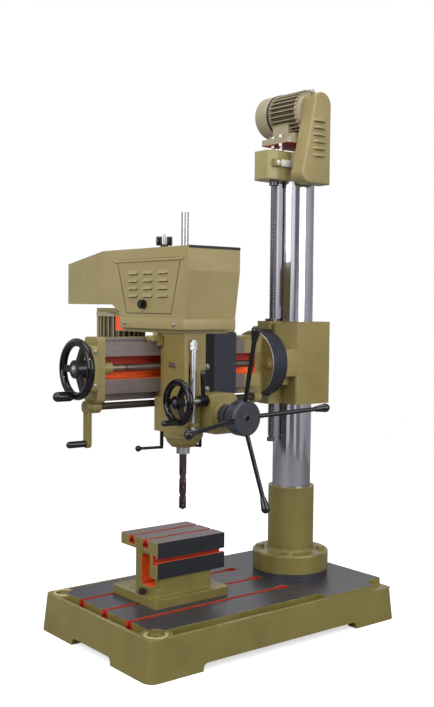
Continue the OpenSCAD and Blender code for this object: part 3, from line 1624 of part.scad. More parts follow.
module capstan_hub() {
  color(dark_steel) difference() {
    translate([feed_x, hub_y1, feed_z]) rotate([90, 0, 0]) rotate_extrude() {
      square([hub_neck_r, hub_neck_l + over]);
      translate([0, hub_neck_l]) square([hub_d / 2 - hub_edge, hub_disc_l]);
      translate([0, hub_neck_l + hub_edge]) square([hub_d / 2, hub_disc_l - 2 * hub_edge]);
      for (z = [hub_neck_l + hub_edge, hub_neck_l + hub_disc_l - hub_edge])
        translate([hub_d / 2 - hub_edge, z]) circle(hub_edge);
    }
    rod_y(feed_shaft_r + seat_gap, hub_y0 + hub_bore_l - over, hub_y1 + over, feed_x, feed_z);
    rod_y(hub_bore_d / 2, hub_y0 - over, hub_y0 + hub_bore_l, feed_x, feed_z);
    at_levers() translate([0, 0, lever_root - over]) cylinder(r = lever_r + seat_gap, h = hub_d);
  }
}

// Each lever's own axis: +Z runs out of the hub and leans forward
module at_levers() {
  lean = atan(lever_rise / (lever_reach - lever_root));
  for (i = [0:3]) translate([feed_x, lever_y, feed_z]) rotate([0, -lever_angle - 90 * i, 0])
    rotate([lean, 0, 0]) children();
}

module capstan_levers() {
  color(black) at_levers() translate([0, 0, lever_root]) cylinder(r = lever_r, h = lever_reach - lever_root);
}

module capstan_knobs() {
  color(black) at_levers() translate([0, 0, lever_reach - knob_seat]) difference() {
    union() {
      cylinder(r1 = knob_neck_r, r2 = knob_r, h = knob_l);
      translate([0, 0, knob_l]) sphere(knob_r);
    }
    translate([0, 0, -over]) cylinder(r = lever_r + seat_gap, h = knob_seat + over);
  }
}

module fine_worm_shaft() {
  color(steel) {
    rod_x(fine_shaft_r, fine_wheel_x - fine_hub_l / 2, feed_x + worm_l / 2 + worm_wheel_w - over, worm_y,
      worm_z);
    rod_x(worm_r - part_gap, feed_x - worm_l / 2, feed_x + worm_l / 2, worm_y, worm_z);
  }
}

module at_fine_grip() {
  translate([0, worm_y, worm_z]) rotate([fine_grip_angle, 0, 0]) translate([0, fine_wheel_r, 0]) children();
}

module fine_feed_wheel() {
  color(black) difference() {
    translate([fine_wheel_x, worm_y, worm_z]) rotate([0, -90, 0])
      hand_wheel(fine_wheel_r, fine_rim_r, fine_hub_r, fine_hub_l, fine_hub_l / 2, fine_spoke_w,
        fine_spoke_t);
    rod_x(fine_shaft_r + seat_gap, fine_wheel_x - fine_hub_l, fine_wheel_x + fine_hub_l, worm_y, worm_z);
    at_fine_grip()
      rod_x(fine_pin_r + seat_gap, fine_wheel_x - fine_rim_r - over, fine_wheel_x + fine_rim_r + over, 0, 0);
  }
  color(steel) at_fine_grip()
    rod_x(fine_pin_r, fine_wheel_x - fine_rim_r - fine_grip_l + pin_short, fine_wheel_x + fine_rim_r, 0, 0);
}

module fine_wheel_grip() {
  color(black) at_fine_grip() turned_grip(fine_wheel_x - fine_rim_r - part_gap, fine_grip_l, fine_grip_r,
    fine_pin_r);
}

module feed_clutch_lever() {
  mid = clutch_x1 - clutch_hub_l / 2;
  color(black) difference() {
    union() {
      rod_x(clutch_hub_r, clutch_x1 - clutch_hub_l, clutch_x1, worm_y, worm_z);
      rod_z(clutch_r, worm_z, worm_z + clutch_reach - clutch_tip_r, mid, worm_y);
      translate([mid, worm_y, worm_z + clutch_reach - 3 * clutch_tip_r])
        cylinder(r1 = clutch_r, r2 = clutch_tip_r, h = 2 * clutch_tip_r);
      translate([mid, worm_y, worm_z + clutch_reach - clutch_tip_r]) sphere(clutch_tip_r);
    }
    rod_x(fine_shaft_r + run_gap, clutch_x1 - clutch_hub_l - over, clutch_x1 + over, worm_y, worm_z);
  }
}

// L-shaped clamping handle hanging from a hole at the origin, its arm along +X
module lock_handle(reach) {
  rod_z(lock_r, -lock_drop, lock_socket, 0, 0);
  translate([0, 0, -lock_drop]) sphere(lock_r);
  rod_x(lock_r - over, 0, reach, 0, -lock_drop);
  translate([reach, 0, -lock_drop]) sphere(lock_ball_r);
}

module quill_lock_handle() {
  color(black) translate([quill_lock_x, quill_lock_y, house_z0]) rotate(quill_lock_turn)
    lock_handle(quill_lock_reach);
}

module head_lock_handle() {
  color(black) translate([head_lock_x, head_lock_y, house_z0]) rotate(head_lock_turn)
    lock_handle(lock_reach);
}

base_casting();
column_pedestal();
base_bolts();
column();
box_table();
column_cap();
motor_plate();
motor_fixings();
lift_motor();
lift_motor_cowl();
lift_belt();
lift_guard();
lift_motor_pulley();
lift_cross_shaft();
lift_cross_pulley();
lift_screw();
arm_carriage();
lift_nut();
arm_beam();
arm_end_plate();
leadscrew_cap();
swivel_bolts();
arm_leadscrew();
arm_handwheel();
arm_wheel_grip();
clamp_rod();
clamp_grip();
head_casting();
saddle();
saddle_lock();
gib_strip();
traverse_nut();
motor_bracket();
main_motor();
belt_cover();
hinge_pin();
cover_stud();
main_belt();
main_motor_pulley();
spindle_pulley();
cover_door();
door_knob();
cover_knob();
quill();
depth_rod();
quill_bearing();
spindle();
drill_bit();
feed_shaft();
feed_dial();
capstan_hub();
capstan_levers();
capstan_knobs();
fine_worm_shaft();
fine_feed_wheel();
fine_wheel_grip();
feed_clutch_lever();
quill_lock_handle();
head_lock_handle();
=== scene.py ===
# %% [markdown]
# # Radial arm drill
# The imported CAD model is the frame: its nodes are already in place, in metres, with +Z up. This lesson
# gives them real finishes and adds the small work that a casting shop, a paint shop and a fitter would add.

# %% Load the frame
import math

import bmesh
import bpy
from mathutils import Matrix, Vector


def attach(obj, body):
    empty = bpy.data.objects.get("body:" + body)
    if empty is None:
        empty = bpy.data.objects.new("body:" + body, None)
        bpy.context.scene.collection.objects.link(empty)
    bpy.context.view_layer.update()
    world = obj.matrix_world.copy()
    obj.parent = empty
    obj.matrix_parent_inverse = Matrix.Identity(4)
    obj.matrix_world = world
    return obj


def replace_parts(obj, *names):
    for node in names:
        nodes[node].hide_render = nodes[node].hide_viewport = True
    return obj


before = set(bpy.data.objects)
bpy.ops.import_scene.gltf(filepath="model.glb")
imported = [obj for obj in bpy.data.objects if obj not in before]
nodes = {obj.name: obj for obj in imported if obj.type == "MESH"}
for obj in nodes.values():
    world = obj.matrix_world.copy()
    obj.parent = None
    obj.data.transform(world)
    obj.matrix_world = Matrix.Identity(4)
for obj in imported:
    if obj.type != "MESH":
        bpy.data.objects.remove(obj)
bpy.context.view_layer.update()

# %% [markdown]
# ## Camera
# The photograph was taken from the front left, at about half the machine's height, with a long lens. A
# camera could be set by eye, but then no outline would lie on its own in the photograph. So its place, turn
# and focal length were fitted to the corners of the base, and the lens shift follows from the fitted centre
# of the picture.

# %% Camera
IMAGE_W, IMAGE_H = 434, 707
FOCAL_PX = 985.35
CENTRE_PX = (219.03, 352.13)
SENSOR_MM = 36.0
CAMERA_PLACE = (-1.8412, -2.2774, 0.9479)
PAN, TILT, ROLL = -38.62, -2.58, 0.61
camera_data = bpy.data.cameras.new("studio_camera")
camera_data.sensor_fit = "VERTICAL"
camera_data.sensor_height = SENSOR_MM
camera_data.lens = SENSOR_MM * FOCAL_PX / IMAGE_H
camera_data.shift_x = (IMAGE_W / 2 - CENTRE_PX[0]) / IMAGE_H
camera_data.shift_y = (CENTRE_PX[1] - IMAGE_H / 2) / IMAGE_H
camera_data.clip_end = 60.0
camera = bpy.data.objects.new("studio_camera", camera_data)
bpy.context.scene.collection.objects.link(camera)
camera.matrix_world = (
    Matrix.Translation(CAMERA_PLACE)
    @ Matrix.Rotation(math.radians(PAN), 4, "Z")
    @ Matrix.Rotation(math.radians(90 + TILT), 4, "X")
    @ Matrix.Rotation(math.radians(ROLL), 4, "Z")
)
bpy.context.scene.camera = camera
print("lens", round(camera_data.lens, 2), "mm at", IMAGE_W, "x", IMAGE_H, "pixels")

# %% [markdown]
# ## Shader helper, colours and directions
# Every finish is a small network. Each node could be made and linked by hand, at four lines a node. One
# function adds a node, sets its properties and fills or links its sockets, so a network reads as a list of
# steps. Colours are written as sRGB hex, as on a paint card, and turned to linear here. Patterns are sized
# in millimetres.

# %% Helper, colours and directions
LEFT, RIGHT = (-1, 0, 0), (1, 0, 0)
FRONT, BACK = (0, -1, 0), (0, 1, 0)
DOWN, UP = (0, 0, -1), (0, 0, 1)


def add(tree, kind, sockets=None, **settings):
    """Add a shader node. Settings are its properties; sockets are values or the outputs of other nodes."""
    node = tree.nodes.new("ShaderNode" + kind)
    for key, value in settings.items():
        setattr(node, key, value)
    for key, value in (sockets or {}).items():
        if isinstance(value, bpy.types.NodeSocket):
            tree.links.new(value, node.inputs[key])
        else:
            node.inputs[key].default_value = value
    return node


def linear(code):
    """Linear colour of an sRGB hex code such as '#8d8152'."""
    parts = [int(code[i:i + 2], 16) / 255 for i in (1, 3, 5)]
    return [p / 12.92 if p <= 0.04045 else ((p + 0.055) / 1.055) ** 2.4 for p in parts] + [1.0]


def per_mm(size):
    """Texture scale, in repeats per metre, of a pattern whose features are size millimetres wide."""
    return 1000.0 / size


def grains(place, size_mm, detail, roughness=0.5):
    """Sockets of a noise whose features are size_mm wide."""
    return {"Vector": place, "Scale": per_mm(size_mm), "Detail": detail, "Roughness": roughness}


def over_noise(socket, low=0.0, high=1.0):
    """Sockets of a MapRange node that carries a noise's usual range to low and high."""
    return {0: socket, 1: 0.3, 2: 0.7, 3: low, 4: high}


def between(socket, dark, light):
    """Sockets of a colour Mix node that goes from a dark shade to a light one."""
    return {0: socket, 6: linear(dark), 7: linear(light)}


print("mid grey is", round(linear("#808080")[0], 3), "in linear light")

# %% [markdown]
# ## Room
# The machine stands on a pale floor in a white room. A picture of a studio could light it, but the file
# holds no images, so the room is drawn in the world shader: a soft dome with upright dark gaps between the
# light panels. A turned column only reads as steel when it has something to mirror. Seen directly, the room
# is plain white.

# %% Room
# Shares of a full turn and the brightness there, above and below the horizon.
UPPER = [(0.0, 0.5), (0.06, 0.45), (0.075, 1.2), (0.125, 1.35), (0.14, 0.36), (0.155, 0.22), (0.19, 0.22),
         (0.205, 0.45), (0.235, 1.2), (0.262, 1.2), (0.28, 0.45), (0.31, 0.7), (0.38, 0.66), (0.5, 0.36),
         (0.73, 0.36), (0.785, 1.2), (0.81, 1.2), (0.83, 0.75), (0.92, 0.75), (0.935, 1.3), (0.955, 1.3),
         (0.97, 0.75), (1.0, 0.5)]
LOWER = [(0.0, 0.06), (0.03, 0.06), (0.045, 0.95), (0.085, 0.95), (0.105, 0.2), (0.155, 0.2), (0.172, 1.0),
         (0.192, 1.0), (0.21, 0.3), (0.26, 0.3), (0.28, 0.75), (0.4, 0.5), (0.73, 0.4), (0.87, 0.5),
         (0.9, 0.1), (1.0, 0.06)]
PANEL_BLUE = 1.03
HORIZON = 0.05


def strip_lights(tree, turn_share, stops):
    """A ring of upright panels: shares of a full turn and their brightness."""
    ring = add(tree, "ValToRGB", {0: turn_share})
    stripes = ring.color_ramp
    for place, value in stops[1:-1]:
        stripes.elements.new(place).color = (value, value, value * PANEL_BLUE, 1)
    for element, (place, value) in ((stripes.elements[0], stops[0]), (stripes.elements[-1], stops[-1])):
        element.position = place
        element.color = (value, value, value * PANEL_BLUE, 1)
    return ring.outputs[0]


world = bpy.data.worlds.new("studio_room")
world.use_nodes = True
bpy.context.scene.world = world
bpy.context.scene.view_settings.view_transform = "Standard"
tree = world.node_tree
tree.nodes.clear()
way = add(tree, "TexCoord")
axes = add(tree, "SeparateXYZ", {0: way.outputs["Generated"]})
turn = add(tree, "Math", {0: axes.outputs[1], 1: axes.outputs[0]}, operation="ARCTAN2")
share = add(tree, "Math", {0: turn.outputs[0], 1: 1 / (2 * math.pi), 2: 0.5}, operation="MULTIPLY_ADD")
rise = add(tree, "MapRange", {0: axes.outputs[2], 1: -HORIZON, 2: HORIZON})
rings = [strip_lights(tree, share.outputs[0], stops) for stops in (LOWER, UPPER)]
walls = add(tree, "Mix", {0: rise.outputs[0], 6: rings[0], 7: rings[1]}, data_type="RGBA")
room = add(tree, "Background", {"Color": walls.outputs[2], "Strength": 0.85})
plain = add(tree, "Background", {"Color": (1, 1, 1, 1), "Strength": 1.0})
ray = add(tree, "LightPath")
both = add(tree, "MixShader", {0: ray.outputs["Is Camera Ray"], 1: room.outputs[0], 2: plain.outputs[0]})
add(tree, "OutputWorld", {"Surface": both.outputs[0]})
print("room panels", len(UPPER), len(LOWER))

# %% [markdown]
# ## Floor
# The floor catches a faint shadow and otherwise vanishes into the white. A shadow could be painted on, but
# a real floor also throws light up into the castings. It glows a little to the camera only, so that it
# stays white, and is darker in reflections, so that the painted undersides don't wash out.

# %% Floor
FLOOR_HALF = 3.2
bm = bmesh.new()
bmesh.ops.create_grid(bm, x_segments=2, y_segments=2, size=FLOOR_HALF)
floor_mesh = bpy.data.meshes.new("studio_floor")
bm.to_mesh(floor_mesh)
bm.free()
floor = bpy.data.objects.new("studio_floor", floor_mesh)
bpy.context.scene.collection.objects.link(floor)
# Rolled floor paint: no gloss, so only soft shading shows.
matt = bpy.data.materials.new("matt_white_floor_paint")
matt.use_nodes = True
tree = matt.node_tree
paint = tree.nodes["Principled BSDF"]
paint.inputs["Roughness"].default_value = 0.9
paint.inputs["Emission Color"].default_value = linear("#ffffff")
seen = add(tree, "LightPath").outputs["Is Camera Ray"]
shade = add(tree, "Mix", {0: seen, 6: linear("#8a8a8a"), 7: linear("#d8d8d8")}, data_type="RGBA")
tree.links.new(shade.outputs[2], paint.inputs["Base Color"])
glow = add(tree, "Math", {0: seen, 1: 0.6}, operation="MULTIPLY")
tree.links.new(glow.outputs[0], paint.inputs["Emission Strength"])
floor_mesh.materials.append(matt)
print("floor", 2 * FLOOR_HALF, "m wide")

# %% [markdown]
# ## Lights
# Four large soft panels light the painted sides, from the left, the front, above and, weakly, behind. Bare
# lamps would be simpler, but large panels give the wide, gentle shadows of a catalogue picture. One small
# lamp above the camera adds the sharp glints on black enamel and steel.


# %% Light panels
def light_panel(name, place, target, size, watts):
    """A rectangular soft light at place, facing target, not seen directly."""
    data = bpy.data.lights.new(name, "AREA")
    data.shape = "RECTANGLE"
    data.size, data.size_y = size
    data.energy = watts
    panel = bpy.data.objects.new(name, data)
    bpy.context.scene.collection.objects.link(panel)
    aim = Vector(target) - Vector(place)
    panel.matrix_world = Matrix.Translation(place) @ aim.to_track_quat("-Z", "Y").to_matrix().to_4x4()
    panel.visible_camera = False


light_panel("left_panel", (-3.4, -0.6, 2.0), (0.0, 0.0, 0.8), (1.8, 2.4), 62)
light_panel("front_panel", (0.6, -3.6, 1.9), (0.0, 0.0, 0.8), (2.4, 2.2), 62)
light_panel("top_panel", (-0.4, -0.3, 4.0), (0.0, 0.0, 0.5), (2.6, 2.6), 60)
light_panel("back_panel", (2.6, 2.6, 2.4), (0.1, 0.0, 0.8), (2.6, 2.6), 18)
light_panel("key_lamp", (-2.2, -2.7, 3.0), (-0.2, -0.1, 0.9), (0.35, 0.35), 22)

# %% [markdown]
# ## Masks
# A casting carries more than one finish: enamel outside, bare ground iron on its working faces and red
# primer where the brush didn't go. The faces could be given separate materials, but the CAD meshes stay as
# they are. So a mask says where a finish shows: inside boxes, or round an axis, in the machine's own
# millimetres.

# %% Masks
FACING_COS = 0.9
SOFT_MM = 4


def within(tree, place, boxes, facing=None):
    """1 inside any of the boxes, given as low and high corners, and where the face looks along facing."""
    total = None
    for low, high in boxes:
        middle = [(a + b) / 2000 for a, b in zip(low, high)]
        half = [(b - a) / 2000 for a, b in zip(low, high)]
        from_middle = add(tree, "VectorMath", {0: place, 1: middle}, operation="SUBTRACT")
        off = add(tree, "VectorMath", {0: from_middle.outputs[0]}, operation="ABSOLUTE")
        past = add(tree, "VectorMath", {0: off.outputs[0], 1: half}, operation="SUBTRACT")
        part = add(tree, "SeparateXYZ", {0: past.outputs[0]})
        most = add(tree, "Math", {0: part.outputs[0], 1: part.outputs[1]}, operation="MAXIMUM")
        most = add(tree, "Math", {0: most.outputs[0], 1: part.outputs[2]}, operation="MAXIMUM")
        inside = add(tree, "Math", {0: most.outputs[0], 1: 0.0}, operation="LESS_THAN")
        if total is None:
            total = inside
        else:
            total = add(tree, "Math", {0: total.outputs[0], 1: inside.outputs[0]}, operation="MAXIMUM")
    if facing is not None:
        normal = add(tree, "TexCoord").outputs["Normal"]
        along = add(tree, "VectorMath", {0: normal, 1: facing}, operation="DOT_PRODUCT")
        faces = add(tree, "Math", {0: along.outputs["Value"], 1: FACING_COS}, operation="GREATER_THAN")
        total = add(tree, "Math", {0: total.outputs[0], 1: faces.outputs[0]}, operation="MULTIPLY")
    return total.outputs[0]


def near_axis(centre, axis, radius, span):
    """A mask function: 1 closer to an axis than radius, within a span along it, all in millimetres."""
    def mask(tree, place):
        away = add(tree, "VectorMath", {0: place, 1: [v / 1000 for v in centre]}, operation="SUBTRACT")
        flat = [0.0 if i == axis else 1.0 for i in range(3)]
        across = add(tree, "VectorMath", {0: away.outputs[0], 1: flat}, operation="MULTIPLY")
        far = add(tree, "VectorMath", {0: across.outputs[0]}, operation="LENGTH").outputs["Value"]
        deep = add(tree, "MapRange", {0: far, 1: radius / 1000, 2: (radius - SOFT_MM) / 1000})
        along = add(tree, "SeparateXYZ", {0: away.outputs[0]}).outputs[axis]
        after = add(tree, "Math", {0: along, 1: span[0] / 1000}, operation="GREATER_THAN")
        before = add(tree, "Math", {0: along, 1: span[1] / 1000}, operation="LESS_THAN")
        both = add(tree, "Math", {0: after.outputs[0], 1: before.outputs[0]}, operation="MULTIPLY")
        return add(tree, "Math", {0: deep.outputs[0], 1: both.outputs[0]}, operation="MULTIPLY").outputs[0]
    return mask


# %% [markdown]
# ## How a finish is put together
# Each look is a function that returns four things: colour, roughness, metallic and height. A material
# stacks looks, each upper one shown by its mask, and could as well be one network per casting; the stack
# lets all castings share one paint. Edges are rounded by a bevel of a millimetre or two in the shading, as
# a grinder leaves them.

# %% Stacking and dressing
dressed = set()


def finish(name, looks, edge_mm=1.5, shader=()):
    """A material of stacked looks. The first covers all; each other one has its boxes and their facing."""
    material = bpy.data.materials.new(name)
    material.use_nodes = True
    tree = material.node_tree
    surface = tree.nodes["Principled BSDF"]
    place = add(tree, "TexCoord").outputs["Object"]
    layers = looks[0](tree, place)
    for look, boxes, facing in looks[1:]:
        mask = boxes(tree, place) if callable(boxes) else within(tree, place, boxes, facing)
        upper = look(tree, place)
        colour = add(tree, "Mix", {0: mask, 6: layers[0], 7: upper[0]}, data_type="RGBA")
        pairs = zip(layers[1:], upper[1:])
        layers = [colour.outputs[2]] + [add(tree, "Mix", {0: mask, 2: a, 3: b}).outputs[0] for a, b in pairs]
    for socket, value in zip(("Base Color", "Roughness", "Metallic"), layers):
        if isinstance(value, bpy.types.NodeSocket):
            tree.links.new(value, surface.inputs[socket])
        else:
            surface.inputs[socket].default_value = value
    rounded = add(tree, "Bevel", {"Radius": edge_mm / 1000}, samples=4)
    bump = add(tree, "Bump", {"Strength": 1.0, "Distance": 1.0, "Height": layers[3],
                              "Normal": rounded.outputs[0]})
    tree.links.new(bump.outputs[0], surface.inputs["Normal"])
    for socket, value in shader:
        surface.inputs[socket].default_value = value
    return material


def dress(material, *names):
    """Give CAD nodes a material."""
    for name in names:
        mesh = nodes[name].data
        mesh.materials.clear()
        mesh.materials.append(material)
        dressed.add(name)
    print(material.name, "on", len(names), "nodes")


# %% [markdown]
# ## Enamel
# Machine enamel is sprayed on filled castings. It has a slow cloudiness of a hand's breadth, where the
# filler takes the gloss differently, an orange peel, and pale edges that are both rubbed thin and a painted
# highlight. A flat colour would look like plastic. The real peel is two to three millimetres wide; that is
# finer than the picture shows, so it is drawn coarser.

# %% Enamel looks
# Pale edge colour: wear and a painted highlight.
WORN_EDGE_HIGHLIGHT = "#b9ad84"


def enamel(light, dark, gloss, wear_and_highlight=0.55, peel_mm=9.0, peel_m=0.000012):
    """A look: sprayed enamel that drifts between two shades, with its edges worn thin and lit by a painted
    highlight.
    """
    def look(tree, place):
        cloud = add(tree, "TexNoise", grains(place, 130, 4.0, 0.55))
        spread = add(tree, "MapRange", over_noise(cloud.outputs[0]))
        body = add(tree, "Mix", between(spread.outputs[0], dark, light), data_type="RGBA")
        edge = add(tree, "Bevel", {"Radius": 0.003}, samples=4)
        flat = add(tree, "NewGeometry").outputs["Normal"]
        match = add(tree, "VectorMath", {0: edge.outputs[0], 1: flat}, operation="DOT_PRODUCT")
        edge_band = add(tree, "MapRange", {0: match.outputs["Value"], 1: 0.97, 2: 0.75})
        patchy = add(tree, "TexNoise", grains(place, 22, 1.0))
        rub = add(tree, "MapRange", {0: patchy.outputs[0], 1: 0.36, 2: 0.58, 4: wear_and_highlight})
        worn_and_highlit = add(tree, "Math", {0: edge_band.outputs[0], 1: rub.outputs[0]}, operation="MULTIPLY").outputs[0]
        thin = add(tree, "Mix", {0: worn_and_highlit, 6: body.outputs[2], 7: linear(WORN_EDGE_HIGHLIGHT)}, data_type="RGBA")
        shine = add(tree, "MapRange", over_noise(patchy.outputs[0], gloss - 0.06, gloss + 0.08))
        peel = add(tree, "TexNoise", grains(place, peel_mm, 1.0))
        height = add(tree, "Math", {0: peel.outputs[0], 1: peel_m}, operation="MULTIPLY")
        metal = add(tree, "Math", {0: worn_and_highlit, 1: 0.05}, operation="MULTIPLY")
        return [thin.outputs[2], shine.outputs[0], metal.outputs[0], height.outputs[0]]
    return look


olive = enamel("#8c7e4b", "#7a6c3b", 0.38)
# Painted shade: a deeper olive for the low castings. Painted light: a paler olive for the cap.
olive_in_painted_shade = enamel("#7b703a", "#6b602d", 0.38, wear_and_highlight=0.95)
olive_in_painted_light = enamel("#9a9060", "#8b8150", 0.38)
sheet = enamel("#96885a", "#897c4f", 0.40)
motor_shade = enamel("#a1967a", "#8f846a", 0.42)
# Painted shade between the motors' fins.
fin_painted_shade = enamel("#544a30", "#473e27", 0.5)
worn_and_highlit = enamel("#b7ac7e", "#9a8f61", 0.32)
louvre_shade = enamel("#6b6038", "#5a5029", 0.6)
print("eight enamels, from louvre shade to rubbed")

# %% [markdown]
# ## Ground iron and primer
# Working faces are ground: fine lines run along the machine's length, with oily stains; on the table,
# painted reflection darkens the upright face and warms the top. The recesses kept their red-lead primer, put
# on with a brush. Both are noise stretched along X, since that is the way the wheel and the brush went; a
# picture of real iron would show the lines too, but not at any distance.


# %% Iron and primer looks
def ground_iron(light, dark, shine, metallic=0.45):
    """A look: ground cast iron with lines along X and oily stains."""
    def look(tree, place):
        stretch = add(tree, "Mapping", {0: place, 3: (per_mm(70), per_mm(1.4), per_mm(1.4))})
        lines = add(tree, "TexNoise", {"Vector": stretch.outputs[0], "Scale": 1.0, "Detail": 2.0})
        stains = add(tree, "TexNoise", grains(place, 90, 5.0, 0.6))
        half = add(tree, "Math", {0: lines.outputs[0], 1: 0.5}, operation="MULTIPLY").outputs[0]
        blend = add(tree, "Math", {0: stains.outputs[0], 1: 0.6, 2: half}, operation="MULTIPLY_ADD")
        spread = add(tree, "MapRange", {0: blend.outputs[0], 1: 0.32, 2: 0.78})
        colour = add(tree, "Mix", between(spread.outputs[0], dark, light), data_type="RGBA")
        rough = add(tree, "MapRange", over_noise(lines.outputs[0], shine - 0.07, shine + 0.1))
        metal = add(tree, "MapRange", over_noise(stains.outputs[0], metallic - 0.1, metallic + 0.1))
        height = add(tree, "Math", {0: lines.outputs[0], 1: 0.00002}, operation="MULTIPLY")
        return [colour.outputs[2], rough.outputs[0], metal.outputs[0], height.outputs[0]]
    return look


def primer(light, dark):
    """A look: brushed red-lead primer."""
    def look(tree, place):
        stretch = add(tree, "Mapping", {0: place, 3: (per_mm(40), per_mm(4), per_mm(4))})
        brush = add(tree, "TexNoise", {"Vector": stretch.outputs[0], "Scale": 1.0, "Detail": 3.0})
        spread = add(tree, "MapRange", over_noise(brush.outputs[0]))
        colour = add(tree, "Mix", between(spread.outputs[0], dark, light), data_type="RGBA")
        rough = add(tree, "MapRange", over_noise(brush.outputs[0], 0.5, 0.66))
        height = add(tree, "Math", {0: brush.outputs[0], 1: 0.00006}, operation="MULTIPLY")
        return [colour.outputs[2], rough.outputs[0], 0.0, height.outputs[0]]
    return look


warm_iron = ground_iron("#7c716e", "#605553", 0.40)
# Painted reflection: a warm brown on the table's top and near black on its upright face.
warm_reflection_iron = ground_iron("#6f5f5f", "#564949", 0.42, 0.3)
dark_iron = ground_iron("#33333f", "#25262f", 0.34, 0.35)
dark_reflection_iron = ground_iron("#24282e", "#171a1f", 0.34, 0.25)
deck_iron = ground_iron("#47454c", "#2f2d33", 0.38, 0.3)
red_lead = primer("#c23a14", "#98240d")
# Painted light: a brighter orange on primed faces that look up or out.
orange_and_lit_primer = primer("#f2601c", "#dc480f")
# Painted light: the brightest primer, along the arm's sill.
lit_lead = primer("#ff7a2a", "#ff5c14")
crimson = primer("#d21a26", "#a80f18")
print("five irons and four primers")

# %% [markdown]
# ## Turned steel
# Turned and ground steel is bright, with faint rings from the tool and a haze of oil and fingers. Its colour
# comes almost only from what it mirrors, so the rings are shallow and the roughness low. The long column is
# painted darker towards the floor, a painted reflection of the darker room below; a plain mirror would look
# like chrome.

# %% Steel looks
SHADE_LOW_Z, SHADE_HIGH_Z = 0.7, 1.15


def turned_steel(light, dark, shine, metallic=1.0, low_shade=1.0):
    """A look: turned steel with faint rings across Z. A low_shade under 1 paints it darker towards the
    floor, as painted reflection.
    """
    def look(tree, place):
        stretch = add(tree, "Mapping", {0: place, 3: (per_mm(60), per_mm(60), per_mm(0.9))})
        rings = add(tree, "TexNoise", {"Vector": stretch.outputs[0], "Scale": 1.0, "Detail": 2.0})
        haze = add(tree, "TexNoise", grains(place, 45, 4.0))
        colour = add(tree, "Mix", between(haze.outputs[0], dark, light), data_type="RGBA")
        # Painted reflection: darker towards the floor.
        if low_shade < 1.0:
            up = add(tree, "SeparateXYZ", {0: place}).outputs[2]
            low_shade_factor = add(tree, "MapRange", {0: up, 1: SHADE_LOW_Z, 2: SHADE_HIGH_Z, 3: low_shade, 4: 1.0})
            colour = add(tree, "Mix", {0: 1.0, 6: colour.outputs[2], 7: low_shade_factor.outputs[0]}, data_type="RGBA",
                         blend_type="MULTIPLY")
        rough = add(tree, "MapRange", over_noise(haze.outputs[0], shine - 0.03, shine + 0.05))
        metal = add(tree, "MapRange", {0: haze.outputs[0], 1: 0.2, 2: 0.3, 3: metallic - 0.05, 4: metallic})
        height = add(tree, "Math", {0: rings.outputs[0], 1: 0.000001}, operation="MULTIPLY")
        return [colour.outputs[2], rough.outputs[0], metal.outputs[0], height.outputs[0]]
    return look


bright = turned_steel("#d4d2db", "#c2c0ca", 0.07, low_shade=0.8)
chrome = turned_steel("#e4e6e8", "#d2d4d8", 0.18)
plain_steel = turned_steel("#b9b8bb", "#9d9b9f", 0.28)
zinc = turned_steel("#a9a59b", "#8f8b82", 0.34, 0.85)
dull_alloy = turned_steel("#756f6b", "#66605c", 0.55, 0.3)
white_steel = turned_steel("#dedcd8", "#cbc8c2", 0.45, 0.3)
blued_steel = turned_steel("#584b4d", "#3a3033", 0.30, 0.9)
brown_steel = turned_steel("#8f857e", "#70665f", 0.32, 0.85)
oiled_steel = turned_steel("#77737a", "#565258", 0.32, 0.9)
bolt_steel = turned_steel("#4a474a", "#38363a", 0.4, 0.9)
bronze_look = turned_steel("#b08a4a", "#93703a", 0.35)
print("eleven turned metals, from bright column to bronze")

# %% [markdown]
# ## Black parts
# Handwheels, levers and grips are stove-enamelled black and polished by hands; the feed hub is blackened
# steel. Both are dark, so what the eye sees is the gloss: sharp on the wheels, broad on the hub. One
# function makes all of them, and the same dusty noise serves rubber and sealing compound, which have next
# to no gloss.


# %% Black looks
def black(light, dark, gloss, grain_mm=3.0, depth_m=0.000015):
    """A look: black enamel, blackening or rubber with dust and finger marks."""
    def look(tree, place):
        marks = add(tree, "TexNoise", grains(place, 26, 5.0, 0.65))
        spread = add(tree, "MapRange", {0: marks.outputs[0], 1: 0.35, 2: 0.75})
        colour = add(tree, "Mix", between(spread.outputs[0], dark, light), data_type="RGBA")
        rough = add(tree, "MapRange", over_noise(marks.outputs[0], gloss - 0.03, gloss + 0.04))
        grain = add(tree, "TexNoise", grains(place, grain_mm, 1.0))
        height = add(tree, "Math", {0: grain.outputs[0], 1: depth_m}, operation="MULTIPLY")
        return [colour.outputs[2], rough.outputs[0], 0.0, height.outputs[0]]
    return look


black_enamel = black("#0a0a0d", "#050507", 0.07)
blackening = black("#32343d", "#2a2c35", 0.30, 9.0, 0.00001)
moulded = black("#0c0c10", "#070709", 0.07)
dark_brown = black("#3a3122", "#292216", 0.40)
sealing = black("#4c4427", "#3a341c", 0.60)
rubber = black("#26262a", "#18181b", 0.70)
shadow_black = black("#09090b", "#040405", 0.60)
print("seven dark looks, from polished enamel to rubber")

# %% [markdown]
# ## Base and table
# Both are iron castings in olive enamel, painted a deeper olive as painted shade low down, ground where work
# is clamped and primed red inside the T-slots.
# The zones could be cut into the meshes, but boxes read from the CAD model do the same and leave it alone.
# In the slots the floors that look up are painted a brighter orange than the walls, as painted light, since
# more light falls on them.

# %% Base and table
DECK_Z = (114.5, 115.6)
deck = [((-414.5, -237.5, DECK_Z[0]), (448.5, 237.5, DECK_Z[1])),
        ((176, -271.5, DECK_Z[0]), (448.5, 271.5, DECK_Z[1]))]
column_seat = [((157, -119, 114.2), (395, 119, 133.5))]
deck_slots = [((-420, y - 17, 80), (153, y + 17, 114.6)) for y in (-121, 0, 121)]
